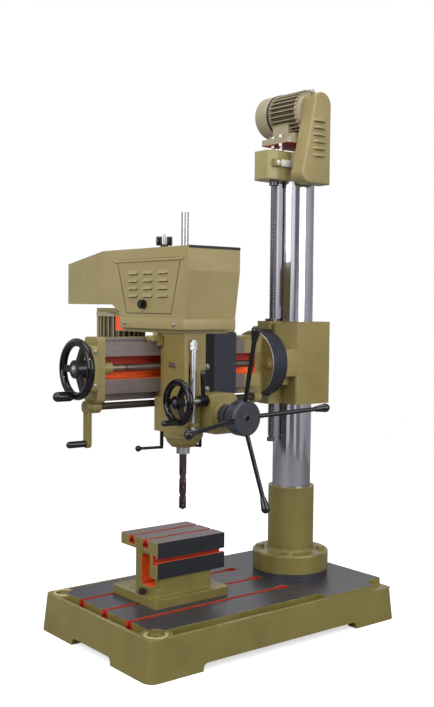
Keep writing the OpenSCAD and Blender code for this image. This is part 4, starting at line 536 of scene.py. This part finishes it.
# Enamel that ends at the ground deck: olive walls frame a dark, lined plate.
dress(finish("enamelled_cast_iron_base", [
    olive_in_painted_shade,
    (deck_iron, deck, UP),
    (red_lead, deck_slots, None),
    (orange_and_lit_primer, deck_slots, UP),
    # The column seat's sides are dark iron: machined, with painted shadow under the flange.
    (deck_iron, column_seat, None),
], edge_mm=2.5), "base_casting")

TABLE_X = (-281, -41)
table_top = [((TABLE_X[0], -61, 291.5), (TABLE_X[1], 126, 293))]
table_face = [((TABLE_X[0], -61, 189), (TABLE_X[1], -59.5, 291.9))]
top_slots = [((TABLE_X[0], y - 14, 268), (TABLE_X[1], y + 14, 291.4)) for y in (1, 69.5)]
face_slot = [((TABLE_X[0], -59.4, 227), (TABLE_X[1], -36, 255))]
window = [((-275.4, -22.5, 159), (TABLE_X[1], 24.5, 251.5))]
# The same enamel with two ground faces, coloured as painted reflection: warm brown on the top, nearly black
# on the upright one.
dress(finish("enamelled_cast_iron_table", [
    olive_in_painted_shade,
    (warm_reflection_iron, table_top, UP),
    (dark_reflection_iron, table_face, FRONT),
    (red_lead, top_slots + face_slot + window, None),
    (orange_and_lit_primer, window, FRONT),
    (orange_and_lit_primer, face_slot + window, UP),
], edge_mm=1.5), "box_table")

# %% [markdown]
# ## Arm, carriage and saddle
# The arm's front is ground for the saddle and its recess is primed, with painted light making it brightest
# along the sill. The swivel flanges of arm and carriage are bare and dark. Boxes again say where. They are
# in each node's own coordinates, so the zones stay on the casting as the arm turns and travels.

# %% Arm, carriage and saddle
RECESS_X, RECESS_Y = (-466, 75.5), (-74.6, -27)
ways = [((RECESS_X[0], -76, 690), (14, -44, 870))]
recess = [((RECESS_X[0], RECESS_Y[0], 756.4), (RECESS_X[1], RECESS_Y[1], 815.6))]
sill = [((RECESS_X[0], RECESS_Y[0], 755.6), (RECESS_X[1], RECESS_Y[1], 771))]
# Olive enamel round a warm grey, lined way and a red recess, with painted light along its sill.
dress(finish("enamelled_cast_iron_arm", [
    olive,
    (warm_iron, ways, None),
    (red_lead, recess, None),
    (lit_lead, sill, None),
    (dark_iron, [((108.5, -101, 680), (131, 101, 884))], None),
], edge_mm=1.5), "arm_beam")
# Olive enamel up to a bare, almost black seat.
dress(finish("enamelled_cast_iron_carriage", [
    olive,
    (dark_iron, [((130, -101, 680), (162.9, 101, 884))], None),
], edge_mm=2.0), "arm_carriage")
# Ground iron: a dark sheen, with olive where the head's paint runs over its end.
dress(finish("ground_iron_saddle", [
    dark_iron,
    (olive, [((-290, -113, 700), (-216, -50, 879))], None),
    (blackening, [((-216, -113, 786), (-48, -111, 788))], None),
], edge_mm=1.5), "saddle")

# %% [markdown]
# ## Plates and bolts with two finishes
# The motors' plates were primed all over and sprayed only from outside, so bright primer shows on the sides
# that the gun didn't reach. The pedestal's bolts were painted in place with it, and the table's were put in
# later.

# %% Plates and bolts
# Sprayed plate: flat olive outside, orange primer at the back.
dress(finish("enamelled_plate_bracket", [
    olive,
    (orange_and_lit_primer, [((-292, 107, 880), (-144, 146, 921))], None),
]), "motor_bracket")
# Sprayed plate: the motor's stone grey above, crimson primer below.
dress(finish("enamelled_motor_plate", [
    motor_shade,
    (crimson, [((180, -70, 1445), (340, 70, 1451))], DOWN),
]), "motor_plate")
# Rolled threads and forged heads: dark, with a dull glint, and olive over those on the pedestal.
dress(finish("black_steel_bolts", [
    bolt_steel,
    (olive, [((150, -140, 120), (400, 140, 240))], None),
], edge_mm=0.8), "base_bolts")

# %% [markdown]
# ## Painted nodes
# The rest of the machine has one finish a node. The paint is the same enamel in five shades: castings, sheet
# and motors came from different shops, the deep olive low down is painted shade and the pale olive on the
# cap is painted light. The motors' fins are painted darker towards their roots, as painted shade, and a mask
# round the motor's axis does that without a second material.

# %% Painted nodes
LIFT_MOTOR_X, LIFT_MOTOR_Z = 272, 1552
MAIN_MOTOR_X, MAIN_MOTOR_Y = -222, 222
lift_fin_painted_shade = near_axis((LIFT_MOTOR_X, 0, LIFT_MOTOR_Z), 1, 63.5, (-57, 49))
main_fin_painted_shade = near_axis((MAIN_MOTOR_X, MAIN_MOTOR_Y, 0), 2, 71, (712, 918))
rod_zone = [((-488, -60, 670), (100, -30, 696))]
# Filled and sprayed castings: a soft gloss and broad, pale edges of wear and painted highlight.
cast_paint = finish("enamelled_castings", [olive], edge_mm=2.5)
dress(cast_paint, "arm_end_plate", "leadscrew_cap", "head_casting", "saddle_lock", "swivel_bolts")
# Painted shade: the pedestal's olive is deeper. Painted light: the cap's olive is paler.
dress(finish("enamelled_pedestal", [olive_in_painted_shade], edge_mm=2.5), "column_pedestal")
dress(finish("enamelled_cap", [olive_in_painted_light], edge_mm=9.0), "column_cap")
# A dark brown band along the clamp rod.
dress(finish("enamelled_clamp_rod", [olive_in_painted_shade, (dark_brown, rod_zone, None)]), "clamp_rod")
# Sprayed sheet: paler and flatter, with narrow edges.
sheet_paint = finish("enamelled_sheet_steel", [sheet], edge_mm=1.2)
dress(sheet_paint, "lift_guard", "belt_cover", "cover_door")
# Bought-in motors: a greyer paint, with painted shade between the fins.
dress(finish("enamelled_motor_housings", [motor_shade], edge_mm=0.6), "lift_motor_cowl")
dress(finish("enamelled_lift_motor", [motor_shade, (fin_painted_shade, lift_fin_painted_shade, None)], 0.6), "lift_motor")
dress(finish("enamelled_main_motor", [motor_shade, (fin_painted_shade, main_fin_painted_shade, None)], 0.6), "main_motor")
# Paint in a pressed slot is darkened as painted shade, and paint on a handled ring is made pale as wear and
# a painted highlight.
louvre_paint = finish("shaded_louvre_enamel", [louvre_shade], edge_mm=0.4)
worn_and_highlit_paint = finish("worn_and_highlit_enamel", [worn_and_highlit], edge_mm=0.8)

# %% [markdown]
# ## Bare metal nodes
# Each metal is named for how it was made, because that sets its shine: a ground column mirrors the room in
# upright streaks, plated fixings are grey and soft, and a drill is blued by its heat treatment. One grey
# for all of them would be quicker and would look like one casting.

# %% Bare metal nodes
# Turned on a lathe: clear grey highlights.
steel = finish("machined_steel", [plain_steel], edge_mm=0.6)
dress(steel, "quill", "spindle", "quill_bearing", "cover_stud", "feed_shaft", "hinge_pin", "fine_worm_shaft",
      "main_motor_pulley", "spindle_pulley", "lift_motor_pulley", "lift_cross_pulley", "lift_cross_shaft")
# Ground and polished: mirrors with streaks.
dress(finish("ground_steel_column", [bright], edge_mm=1.0), "column")
dress(finish("polished_depth_rod", [chrome], edge_mm=0.8), "depth_rod")
# Plated: a soft, warm grey. Ground but not polished: nearly white.
zinc_steel = finish("zinc_plated_fixings", [zinc], edge_mm=0.6)
dress(zinc_steel, "motor_fixings")
bar_steel = finish("ground_stop_bar", [white_steel], edge_mm=0.6)
# Oiled threads: dark, with narrow glints. The lead screw's old oil is brown.
screw_steel = finish("oiled_screw_steel", [oiled_steel], edge_mm=0.5)
dress(screw_steel, "lift_screw", "arm_leadscrew")
lead_steel = finish("brown_lead_screw_steel", [brown_steel], edge_mm=0.4)
# Hardened: a dark blue-brown sheen on the flutes.
dress(finish("blued_drill_steel", [blued_steel], edge_mm=0.4), "drill_bit")
# Cast and turned: yellow where clean, dark under oil. Rolled alloy strip: dull and grey.
dress(finish("cast_bronze", [bronze_look], edge_mm=0.8), "traverse_nut")
dress(finish("oiled_bronze_nut", [oiled_steel], edge_mm=0.8), "lift_nut")
scale_alloy = finish("dull_scale_alloy", [dull_alloy], edge_mm=0.3)

# %% [markdown]
# ## Black and rubber nodes
# Wheels and levers are dipped and stoved, knobs are moulded, the hub is chemically blackened and the belts
# are rubber. They could share one black, but then the gloss that tells them apart would be lost.

# %% Black and rubber nodes
# Stoved: a hard black with small, sharp glints on rounded rims.
black_gloss = finish("stove_enamelled_black", [black_enamel], 3.0, [("Specular IOR Level", 0.38)])
dress(black_gloss, "arm_handwheel", "fine_feed_wheel", "feed_clutch_lever", "capstan_levers",
      "quill_lock_handle", "head_lock_handle", "gib_strip")
# Blackened: a blue-grey with a broad sheen.
black_steel = finish("blackened_steel", [blackening], edge_mm=1.5)
dress(black_steel, "capstan_hub", "feed_dial")
# Moulded: as black as enamel, with brighter glints.
phenolic = finish("moulded_phenolic", [moulded], 1.0, [("Specular IOR Level", 0.5)])
dress(phenolic, "arm_wheel_grip", "clamp_grip", "fine_wheel_grip", "capstan_knobs", "door_knob",
      "cover_knob")
# Rubber and sealing compound: flat and dusty, and also used as painted shade in slots and painted shadow
# along the cover's edge. The socket is a painted shadow: hardly any light comes back.
belt_rubber = finish("belt_rubber", [rubber], edge_mm=0.6)
dress(belt_rubber, "main_belt", "lift_belt")
seal_and_slot_shade = finish("sealing_and_slot_shade", [sealing], edge_mm=0.4)
socket_painted_shadow = finish("painted_shadow_socket", [shadow_black], 0.3, [("Specular IOR Level", 0.15)])
print("not dressed", sorted(set(nodes) - dressed))

# %% [markdown]
# ## How the small pieces are made
# Threads, screws, louvres and scales are too fine for the CAD model, so they are made here. A shape is
# built round the Z axis with one operator, such as a spin, and then carried to its axis on the machine. It
# could be modelled in place, but then each direction would need its own sums. Several shapes are joined
# into one piece, which rides on the body that it is fixed to.

# %% Carrying, joining and cutting
MERGE_M = 1e-6
THREAD_MERGE_M = 2e-5


def aimed(base, axis):
    """Matrix that carries the Z axis at the origin to an axis through base, in millimetres."""
    turn = Vector(UP).rotation_difference(Vector(axis))
    return Matrix.Translation(Vector(base) / 1000) @ turn.to_matrix().to_4x4()


def join(bm, shape, matrix):
    """Close a shape, carry it by a matrix and add it to a piece."""
    bmesh.ops.remove_doubles(shape, verts=shape.verts, dist=MERGE_M)
    shape.transform(matrix)
    part = bpy.data.meshes.new("part")
    shape.to_mesh(part)
    shape.free()
    bm.from_mesh(part)
    bpy.data.meshes.remove(part)


def cut(shape, through, facing):
    """Cut away what lies beyond a plane, given by a point in metres and its direction."""
    everything = shape.verts[:] + shape.edges[:] + shape.faces[:]
    bmesh.ops.bisect_plane(shape, geom=everything, plane_co=through, plane_no=facing, clear_outer=True)


def outline(shape, points):
    """A chain of edges through (radius, height) points in metres, as geometry to spin."""
    line = [shape.verts.new((r, 0, h)) for r, h in points]
    return line + [shape.edges.new(pair) for pair in zip(line, line[1:])]


# %% [markdown]
# ## Four shapes
# Nearly all small pieces are a lathe shape, a thread, a bar with rounded edges or a screw head. Each could
# be a plain cylinder or box, but edges without a radius catch no light, and a screw without a socket reads
# as a dot.


# %% Shapes
def turned(bm, base, axis, profile, steps=32):
    """A lathe shape: (height, radius) pairs in millimetres, spun round an axis through base."""
    shape = bmesh.new()
    chain = outline(shape, [(r / 1000, h / 1000) for h, r in profile])
    bmesh.ops.spin(shape, geom=chain, axis=UP, angle=2 * math.pi, steps=steps, use_merge=True)
    join(bm, shape, aimed(base, axis))


def threaded(bm, base, axis, length, outer, root, pitch, steps=16):
    """A screw: one pitch of its outline climbs turn by turn."""
    shape = bmesh.new()
    turns = round(length / pitch)
    tooth = ((0, root), (0.2, root), (0.38, outer), (0.82, outer), (1, root))
    chain = outline(shape, [(r / 1000, part * pitch / 1000) for part, r in tooth])
    bmesh.ops.spin(shape, geom=chain, axis=UP, dvec=(0, 0, pitch / 1000 / steps),
                   angle=2 * math.pi * turns, steps=steps * turns)
    bmesh.ops.remove_doubles(shape, verts=shape.verts, dist=THREAD_MERGE_M)
    bmesh.ops.holes_fill(shape, edges=[e for e in shape.edges if e.is_boundary], sides=0)
    join(bm, shape, aimed(base, axis))


def bar(bm, low, high, edge=1.0):
    """A bar with rounded edges between two corners, in millimetres."""
    shape = bmesh.new()
    bmesh.ops.create_cube(shape, size=1.0)
    bmesh.ops.scale(shape, vec=[(b - a) / 1000 for a, b in zip(low, high)], verts=shape.verts)
    bmesh.ops.bevel(shape, geom=shape.edges[:], offset=edge / 1000, segments=3, profile=0.5, affect="EDGES",
                    material=-1)
    join(bm, shape, Matrix.Translation([(a + b) / 2000 for a, b in zip(low, high)]))


def screw(bm, base, axis, r):
    """A round screw head with a driving socket, on a thin washer. Its outline is in shares of its radius."""
    shares = [(0, 0), (0, 1.35), (0.16, 1.35), (0.2, 1.28), (0.2, 1), (0.5, 1), (0.74, 0.84), (0.86, 0.6),
              (0.88, 0.42), (0.5, 0.38), (0.5, 0)]
    turned(bm, base, axis, [(h * r, w * r) for h, w in shares], steps=24)


# %% [markdown]
# ## How a piece is settled
# A piece gets its normals, its material and its body in one place, so none is forgotten. Faces are smooth,
# but edges sharper than an angle stay sharp, as on a turned part. Pieces of one bar, one lathe shape or one
# kind of screw have a function each, because there are many of them.


# %% Pieces
def settle(name, bm, material, body, smooth=38):
    """Close a piece, give it a material and let it ride on a body."""
    bmesh.ops.recalc_face_normals(bm, faces=bm.faces)
    mesh = bpy.data.meshes.new(name)
    bm.to_mesh(mesh)
    bm.free()
    mesh.materials.append(material)
    mesh.shade_smooth()
    mesh.set_sharp_from_angle(angle=math.radians(smooth))
    piece = bpy.data.objects.new(name, mesh)
    bpy.context.scene.collection.objects.link(piece)
    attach(piece, body)
    print(name, len(mesh.polygons), "faces on", body)
    return piece


def bar_piece(name, low, high, edge, material, body):
    """A piece that is one bar."""
    bm = bmesh.new()
    bar(bm, low, high, edge)
    settle(name, bm, material, body)


def turned_piece(name, base, axis, profile, material, body, steps=32):
    """A piece that is one lathe shape."""
    bm = bmesh.new()
    turned(bm, base, axis, profile, steps)
    settle(name, bm, material, body)


def screw_piece(name, places, axis, r, material, body):
    """A piece of screws that all face one way."""
    bm = bmesh.new()
    for place in places:
        screw(bm, place, axis, r)
    settle(name, bm, material, body)


# %% [markdown]
# ## Screws that move things
# The lifting screw and the arm's lead screw have trapezoidal threads. Rings stacked along a rod would be
# lighter, but they don't climb. So one tooth's outline is spun round the axis while it rises, which gives a
# real helix; collars and journals are turned as on a lathe.

# %% Lifting screw and lead screw
LIFT_X = 187
LEAD_Y, LEAD_Z = -62, 785
bm = bmesh.new()
threaded(bm, (LIFT_X, 0, 549), UP, length=775, outer=9.9, root=7.5, pitch=8.0)
turned(bm, (LIFT_X, 0, 536), UP, [(0, 0), (0, 10.5), (1.5, 12), (12.5, 12), (14, 10.5), (14, 0)])
turned(bm, (LIFT_X, 0, 1323.6), UP, [(0, 0), (0, 13.8), (1.2, 15), (12.8, 15), (14, 13.8), (14, 9.9),
                                     (97, 9.9), (98, 9), (98, 0)])
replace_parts(settle("lift_screw_thread", bm, screw_steel, "lift_screw"), "lift_screw")

bm = bmesh.new()
threaded(bm, (-398, LEAD_Y, LEAD_Z), RIGHT, length=441, outer=9.9, root=7.6, pitch=7.0)
turned(bm, (-549.2, LEAD_Y, LEAD_Z), RIGHT, [(0, 0), (0, 7), (1, 8), (110, 8), (110, 9.9), (124, 9.9),
                                             (125, 8.6), (130, 8.6), (131, 9.9), (152, 9.9), (152, 0)])
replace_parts(settle("arm_screw_thread", bm, lead_steel, "arm_leadscrew"), "arm_leadscrew")

# %% [markdown]
# ## Belt guard
# The guard is pressed sheet that narrows towards its round top. It could be drawn anew, but the CAD solid
# already has its outline, so the shell is a copy of it: its left wall is leaned in and its front rim
# rounded.

# %% Guard
WALL_X, WALL_SPAN = 0.248, 0.054
LEAN_FOOT_Z, LEAN_RISE, LEAN_X = 1.36, 0.19, 0.033
RIM_Y, RIM_R = -0.119, 0.005
bm = bmesh.new()
bm.from_mesh(nodes["lift_guard"].data)
bmesh.ops.remove_doubles(bm, verts=bm.verts, dist=MERGE_M)
for vert in bm.verts:
    near = min(max((WALL_X - vert.co.x) / WALL_SPAN, 0), 1)
    vert.co.x += LEAN_X * near * min(max((vert.co.z - LEAN_FOOT_Z) / LEAN_RISE, 0), 1)
bmesh.ops.dissolve_limit(bm, angle_limit=math.radians(0.5), verts=bm.verts, edges=bm.edges)
rim = [e for e in bm.edges if all(v.co.y < RIM_Y for v in e.verts) and e.calc_face_angle(0) > 1]
bmesh.ops.bevel(bm, geom=rim, offset=RIM_R, segments=4, profile=0.5, affect="EDGES", material=-1)
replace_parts(settle("leaning_guard", bm, sheet_paint, "column_head", smooth=24), "lift_guard")

# %% [markdown]
# ## Louvres
# Six louvres are pressed out of the guard's face to cool the belt. A bump in the paint would not show from
# the side, so each is a real hood: a quarter of a flattened ball with a sheet's thickness, and a dark bar of
# painted shade under it.

# %% Louvres
FIRST_LOUVRE_Z, LOUVRE_PITCH = 1407, 20.8
HOOD_SIZE, HOOD_SHEET = (0.027, 0.008, 0.013), 0.0008
bm = bmesh.new()
slots = bmesh.new()
for row in range(6):
    z = FIRST_LOUVRE_Z + LOUVRE_PITCH * row
    hood = bmesh.new()
    bmesh.ops.create_uvsphere(hood, u_segments=24, v_segments=16, radius=1.0)
    bmesh.ops.scale(hood, vec=HOOD_SIZE, verts=hood.verts)
    for side in (BACK, DOWN):
        cut(hood, (0, 0, 0), side)
    bmesh.ops.solidify(hood, geom=hood.faces[:], thickness=HOOD_SHEET)
    join(bm, hood, Matrix.Translation((0.260, -0.1195, z / 1000)))
    bar(slots, (237, -119.8, z - 3.4), (283, -119.2, z + 1.2), 0.2)
settle("guard_louvres", bm, sheet_paint, "column_head", smooth=50)
# Painted shade: a dark bar under each hood.
settle("guard_slots", slots, louvre_paint, "column_head")

# %% [markdown]
# ## Column head
# A clamp block with its screw and a stop bar sit on the cap's side, and a small nut closes the guard's top.
# The joint between the lifting motor and its fan cowl is a dark ring. All are turned shapes or bars with
# rounded edges, which catch the light as the castings do.

# %% Clamp block, stop bar and guard nut
bar_piece("cap_clamp_block", (146, -52, 1375), (172, -34, 1399), 2.5, cast_paint, "column_head")
bm = bmesh.new()
screw(bm, (159, -52, 1387), FRONT, 5.5)
bar(bm, (172.5, -49, 1377), (228, -40.2, 1398), 1.5)
settle("cap_stop_bar", bm, bar_steel, "column_head")
nut = [(0, 0), (0, 9), (1.5, 9), (1.5, 6.5), (7, 6.5), (9.5, 4.5), (10.5, 0)]
turned_piece("guard_nut", (252, -95, 1601.4), UP, nut, zinc_steel, "column_head", steps=24)
ring = [(0, 60), (0, 66.6), (9.8, 66.6), (9.8, 60), (0, 60)]
cowl_joint = (LIFT_MOTOR_X, 51.5, LIFT_MOTOR_Z)
turned_piece("cowl_gap", cowl_joint, BACK, ring, belt_rubber, "column_head", steps=64)

# %% [markdown]
# ## Belt cover
# The cover's skirt is a folded band round its foot, a dark strip of painted shadow runs along its front
# edge, and compound seals the door's slanting joint. Grooves cut into the cover would need its mesh changed;
# thin bars laid on it look the same from any side. The door's slots are dark bars of painted shade that ride
# with the door.

# %% Skirt, seals and slots of the cover
SKIRT_LEFT_X, SKIRT_RIGHT_X = -306.4, -130.6
SKIRT_Z = (889, 917)
bm = bmesh.new()
bar(bm, (SKIRT_LEFT_X, -206, SKIRT_Z[0]), (-304.8, 97, SKIRT_Z[1]), 0.6)
bar(bm, (SKIRT_LEFT_X, -207.4, SKIRT_Z[0]), (-131, -205.4, SKIRT_Z[1]), 0.8)
bar(bm, (-132.2, -206, SKIRT_Z[0]), (SKIRT_RIGHT_X, 97, SKIRT_Z[1]), 0.6)
settle("cover_skirt", bm, sheet_paint, "head")
# Painted shadow: a dark strip along the cover's front edge.
bar_piece("cover_edge_shadow", (-305, -227, 1103.5), (-131.6, -222, 1110.6), 1.5, belt_rubber, "head")
bm = bmesh.new()
corners = [(-186.8, 1070), (-148.8, 930.6), (66.8, 930.6), (113.8, 1070)]
for (y0, z0), (y1, z1) in zip(corners, corners[1:]):
    line = bmesh.new()
    bar(line, (-305.7, -1.1, 0), (-304.9, 1.1, math.hypot(y1 - y0, z1 - z0)), 0.3)
    lean = Matrix.Rotation(math.atan2(y0 - y1, z1 - z0), 4, "X")
    join(bm, line, Matrix.Translation((0, y0 / 1000, z0 / 1000)) @ lean)
settle("door_seal", bm, seal_and_slot_shade, "head")
# Painted shade: dark bars in the door's slots.
bm = bmesh.new()
for column in range(3):
    for row in range(4):
        y, z = -132 + 72 * column, 975.6 + 21 * row
        bar(bm, (-305.5, y + 2, z - 2.6), (-304.6, y + 42, z + 0.6), 0.3)
settle("door_slot_shade", bm, seal_and_slot_shade, "cover_door")

# %% [markdown]
# ## Head fixings
# Plated screws hold the skirt on both sides, the gib strip and a small blank plate, and a cast plate covers
# the saddle beside the cover. A screw is a lathe shape with a socket in it, since a plain disc would show
# no shadow.

# %% Head fixings
SKIRT_SCREW_Z = 902
bar_piece("saddle_plate", (-116, -108, 878.2), (-50, -58, 887), 2.0, cast_paint, "head")
bm = bmesh.new()
for y in (-162, 75):
    screw(bm, (SKIRT_LEFT_X, y, SKIRT_SCREW_Z), LEFT, 5.0)
    screw(bm, (SKIRT_RIGHT_X, y, SKIRT_SCREW_Z), RIGHT, 5.0)
for z in (720.5, 783):
    screw(bm, (-157, -118, z), FRONT, 6.0)
for y in (-146, -118):
    screw(bm, (-288, y, 792.5), LEFT, 1.6)
settle("head_screws", bm, zinc_steel, "head")
bar_piece("head_plate", (-288, -149, 785), (-286.6, -115, 800), 0.5, zinc_steel, "head")

# %% [markdown]
# ## Arm fixings
# Screws hold the lead screw's bearing plate, a bright turned edge shows where the swivel flanges meet, and
# washers lie under two of the swivel bolts. The saddle's lock has one screw in its end, small enough to
# pass the arm's end plate.

# %% Arm fixings
SWIVEL_X, SWIVEL_Z = 106, 781
bm = bmesh.new()
for z in (741, 829.5):
    screw(bm, (-498, -84, z), FRONT, 4.5)
for y, z in ((-74, 734), (-50, 734), (-74, 836), (-50, 836)):
    screw(bm, (-511, y, z), LEFT, 4.0)
settle("bearing_screws", bm, zinc_steel, "arm")
edge = [(-0.5, 95.5), (-0.5, 97.6), (1.2, 99.3), (2.6, 99.3), (2.6, 95.5), (-0.5, 95.5)]
turned_piece("flange_edge", (SWIVEL_X, 0, SWIVEL_Z), RIGHT, edge, steel, "arm", steps=96)
washer = [(0, 9), (0, 16), (1.6, 16), (2.2, 15.2), (2.2, 9), (0, 9)]
bm = bmesh.new()
for y in (-80, 80):
    turned(bm, (SWIVEL_X, y, SWIVEL_Z), LEFT, washer)
settle("swivel_washers", bm, cast_paint, "arm")
screw_piece("saddle_lock_screw", [(-319, -71, 863)], LEFT, 5.8, cast_paint, "head")

# %% [markdown]
# ## Wing knob and spot faces
# The cover's knob has two lobes on a round foot, with the bright stud between them; each lobe is a bar with
# wide round edges, turned about the stud. Round the foundation holes the bosses are spot-faced: a shallow
# turned ring that a washer would sit on.

# %% Wing knob and spot faces
KNOB_PLACE = (-220, 5, 1117.2)
LOBE_TURN = -38.6
foot = [(0, 5.9), (0, 10), (1, 11), (6, 11), (8, 9), (8, 5.9), (0, 5.9)]
bm = bmesh.new()
turned(bm, KNOB_PLACE, UP, foot)
for turn in (LOBE_TURN, LOBE_TURN + 180):
    lobe = bmesh.new()
    bar(lobe, (6, -7.5, 4), (23, 7.5, 30), 4.0)
    join(bm, lobe, aimed(KNOB_PLACE, UP) @ Matrix.Rotation(math.radians(turn), 4, "Z"))
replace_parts(settle("wing_knob", bm, phenolic, "cover_knob"), "cover_knob")
# The spot faces' pale paint is wear and a painted highlight.
face = [(-0.5, 24), (0.8, 24.2), (1.6, 25), (1.6, 30.5), (0.9, 32.6), (-0.5, 33), (-0.5, 24)]
bm = bmesh.new()
for y in (-234, 234):
    turned(bm, (-406, y, 108), UP, face, 48)
settle("spot_faces", bm, worn_and_highlit_paint, "base")

# %% [markdown]
# ## Carriage web
# Between the swivel seat and the carriage's flat front a web is cast, level with the front beside the seat.
# Above the seat it slopes back to the lifting screw's boss, so its upper half is a bar with one corner cut
# away, as a pattern maker would plane it.

# %% Carriage web
WEB_X = (162.9, 216)
bm = bmesh.new()
bar(bm, (WEB_X[0], -94.8, 742), (WEB_X[1], -40, 822), 3.0)
slope = bmesh.new()
bar(slope, (WEB_X[0], -94.6, 810), (WEB_X[1], -34, 904), 3.0)
cut(slope, (0.206, -0.0946, 0.822), (-0.78, -0.62, 0.0))
bmesh.ops.holes_fill(slope, edges=[e for e in slope.edges if e.is_boundary], sides=0)
join(bm, slope, Matrix.Identity(4))
settle("carriage_web", bm, cast_paint, "carriage")

# %% [markdown]
# ## Back of the machine
# The photograph doesn't show the back. Such machines have a slotted end on each motor's fan cowl and clamp
# bolts at the back of the carriage. A slot is a thin dark bar of painted shade, turned round the motor's
# axis; a hole through the cowl would show only an empty shell behind it.

# %% Fan slots and clamp bolts
SLOTS = 16


def fan_slots(name, centre, axis, inner, outer, body):
    """Dark bars of painted shade for the slots round the end of a fan cowl, between two radii in
    millimetres.
    """
    bm = bmesh.new()
    for step in range(SLOTS):
        slot = bmesh.new()
        bar(slot, (inner, -2.2, -0.3), (outer, 2.2, 0.35), 0.25)
        join(bm, slot, aimed(centre, axis) @ Matrix.Rotation(2 * math.pi * step / SLOTS, 4, "Z"))
    settle(name, bm, belt_rubber, body)


fan_slots("lift_fan_slots", (LIFT_MOTOR_X, 121.5, LIFT_MOTOR_Z), BACK, 18, 46, "column_head")
fan_slots("main_fan_slots", (MAIN_MOTOR_X, MAIN_MOTOR_Y, 699.6), DOWN, 20, 52, "head")
screw_piece("carriage_bolts", [(306, 95, z) for z in (706, 857)], BACK, 10.0, zinc_steel, "carriage")

# %% [markdown]
# ## Scales
# A graduated strip lies above the arm's upper way, with a long line at every fifth mark, and the feed dial
# is divided into sixty. The lines could be drawn in a material, but then they would blur with distance and
# carry no edge, so each is a fine raised bar.

# %% Arm scale and feed dial
FEED_X, FEED_Z = -197.5, 662
MARKS, DIAL_MARKS, LONG_EVERY = 78, 60, 5
bar_piece("arm_scale", (-455, -50.8, 856.5), (-60, -49.8, 864.5), 0.3, scale_alloy, "arm")
bm = bmesh.new()
for mark in range(MARKS):
    x = -450 + 5 * mark
    bar(bm, (x - 0.3, -51.0, 857), (x + 0.3, -50.6, 860.5 if mark % LONG_EVERY else 863), 0.1)
settle("arm_scale_marks", bm, black_steel, "arm")
bm = bmesh.new()
for mark in range(DIAL_MARKS):
    line = bmesh.new()
    bar(line, (29.8, -0.35, 1.5), (30.25, 0.35, 7.5 if mark % LONG_EVERY else 11), 0.1)
    spun = Matrix.Rotation(2 * math.pi * mark / DIAL_MARKS, 4, "Z")
    join(bm, line, aimed((FEED_X, -275, FEED_Z), BACK) @ spun)
settle("feed_dial_marks", bm, zinc_steel, "capstan")

# %% [markdown]
# ## Wheels, hub and clutch handle
# A plated screw holds the arm's handwheel and a blackened one the fine feed wheel. The feed hub has a socket
# screw: a turned rim round a dark disc of painted shadow that reads as a hole. The clutch lever's moulded
# handle is a lathe shape that swells towards its end, to fit the hand.

# %% Wheel screws, hub and clutch handle
HUB_FACE_Y = -341
screw_piece("handwheel_screw", [(-549.3, LEAD_Y, LEAD_Z)], LEFT, 8.0, zinc_steel, "arm_leadscrew")
rim = [(-0.3, 6.8), (0.5, 6.8), (0.9, 7.4), (0.9, 10), (0.3, 10.8), (-0.3, 10.8), (-0.3, 6.8)]
turned_piece("hub_screw", (FEED_X, HUB_FACE_Y, FEED_Z), FRONT, rim, black_steel, "capstan")
# Painted shadow: the socket's dark disc.
disc = [(-0.3, 0), (-0.3, 6.9), (0.2, 6.9), (0.2, 0)]
turned_piece("hub_socket", (FEED_X, HUB_FACE_Y, FEED_Z), FRONT, disc, socket_painted_shadow, "capstan", steps=24)
handle = [(0, 0), (0, 5.0), (2, 5.6), (40, 7.4), (56, 8.2), (63, 7.4), (67, 4.5), (68.5, 0)]
turned_piece("clutch_handle", (-250.9, -221, 716), UP, handle, phenolic, "feed_clutch")
screw_piece("fine_wheel_screw", [(-343, -221, 701)], LEFT, 7.0, black_steel, "fine_feed")
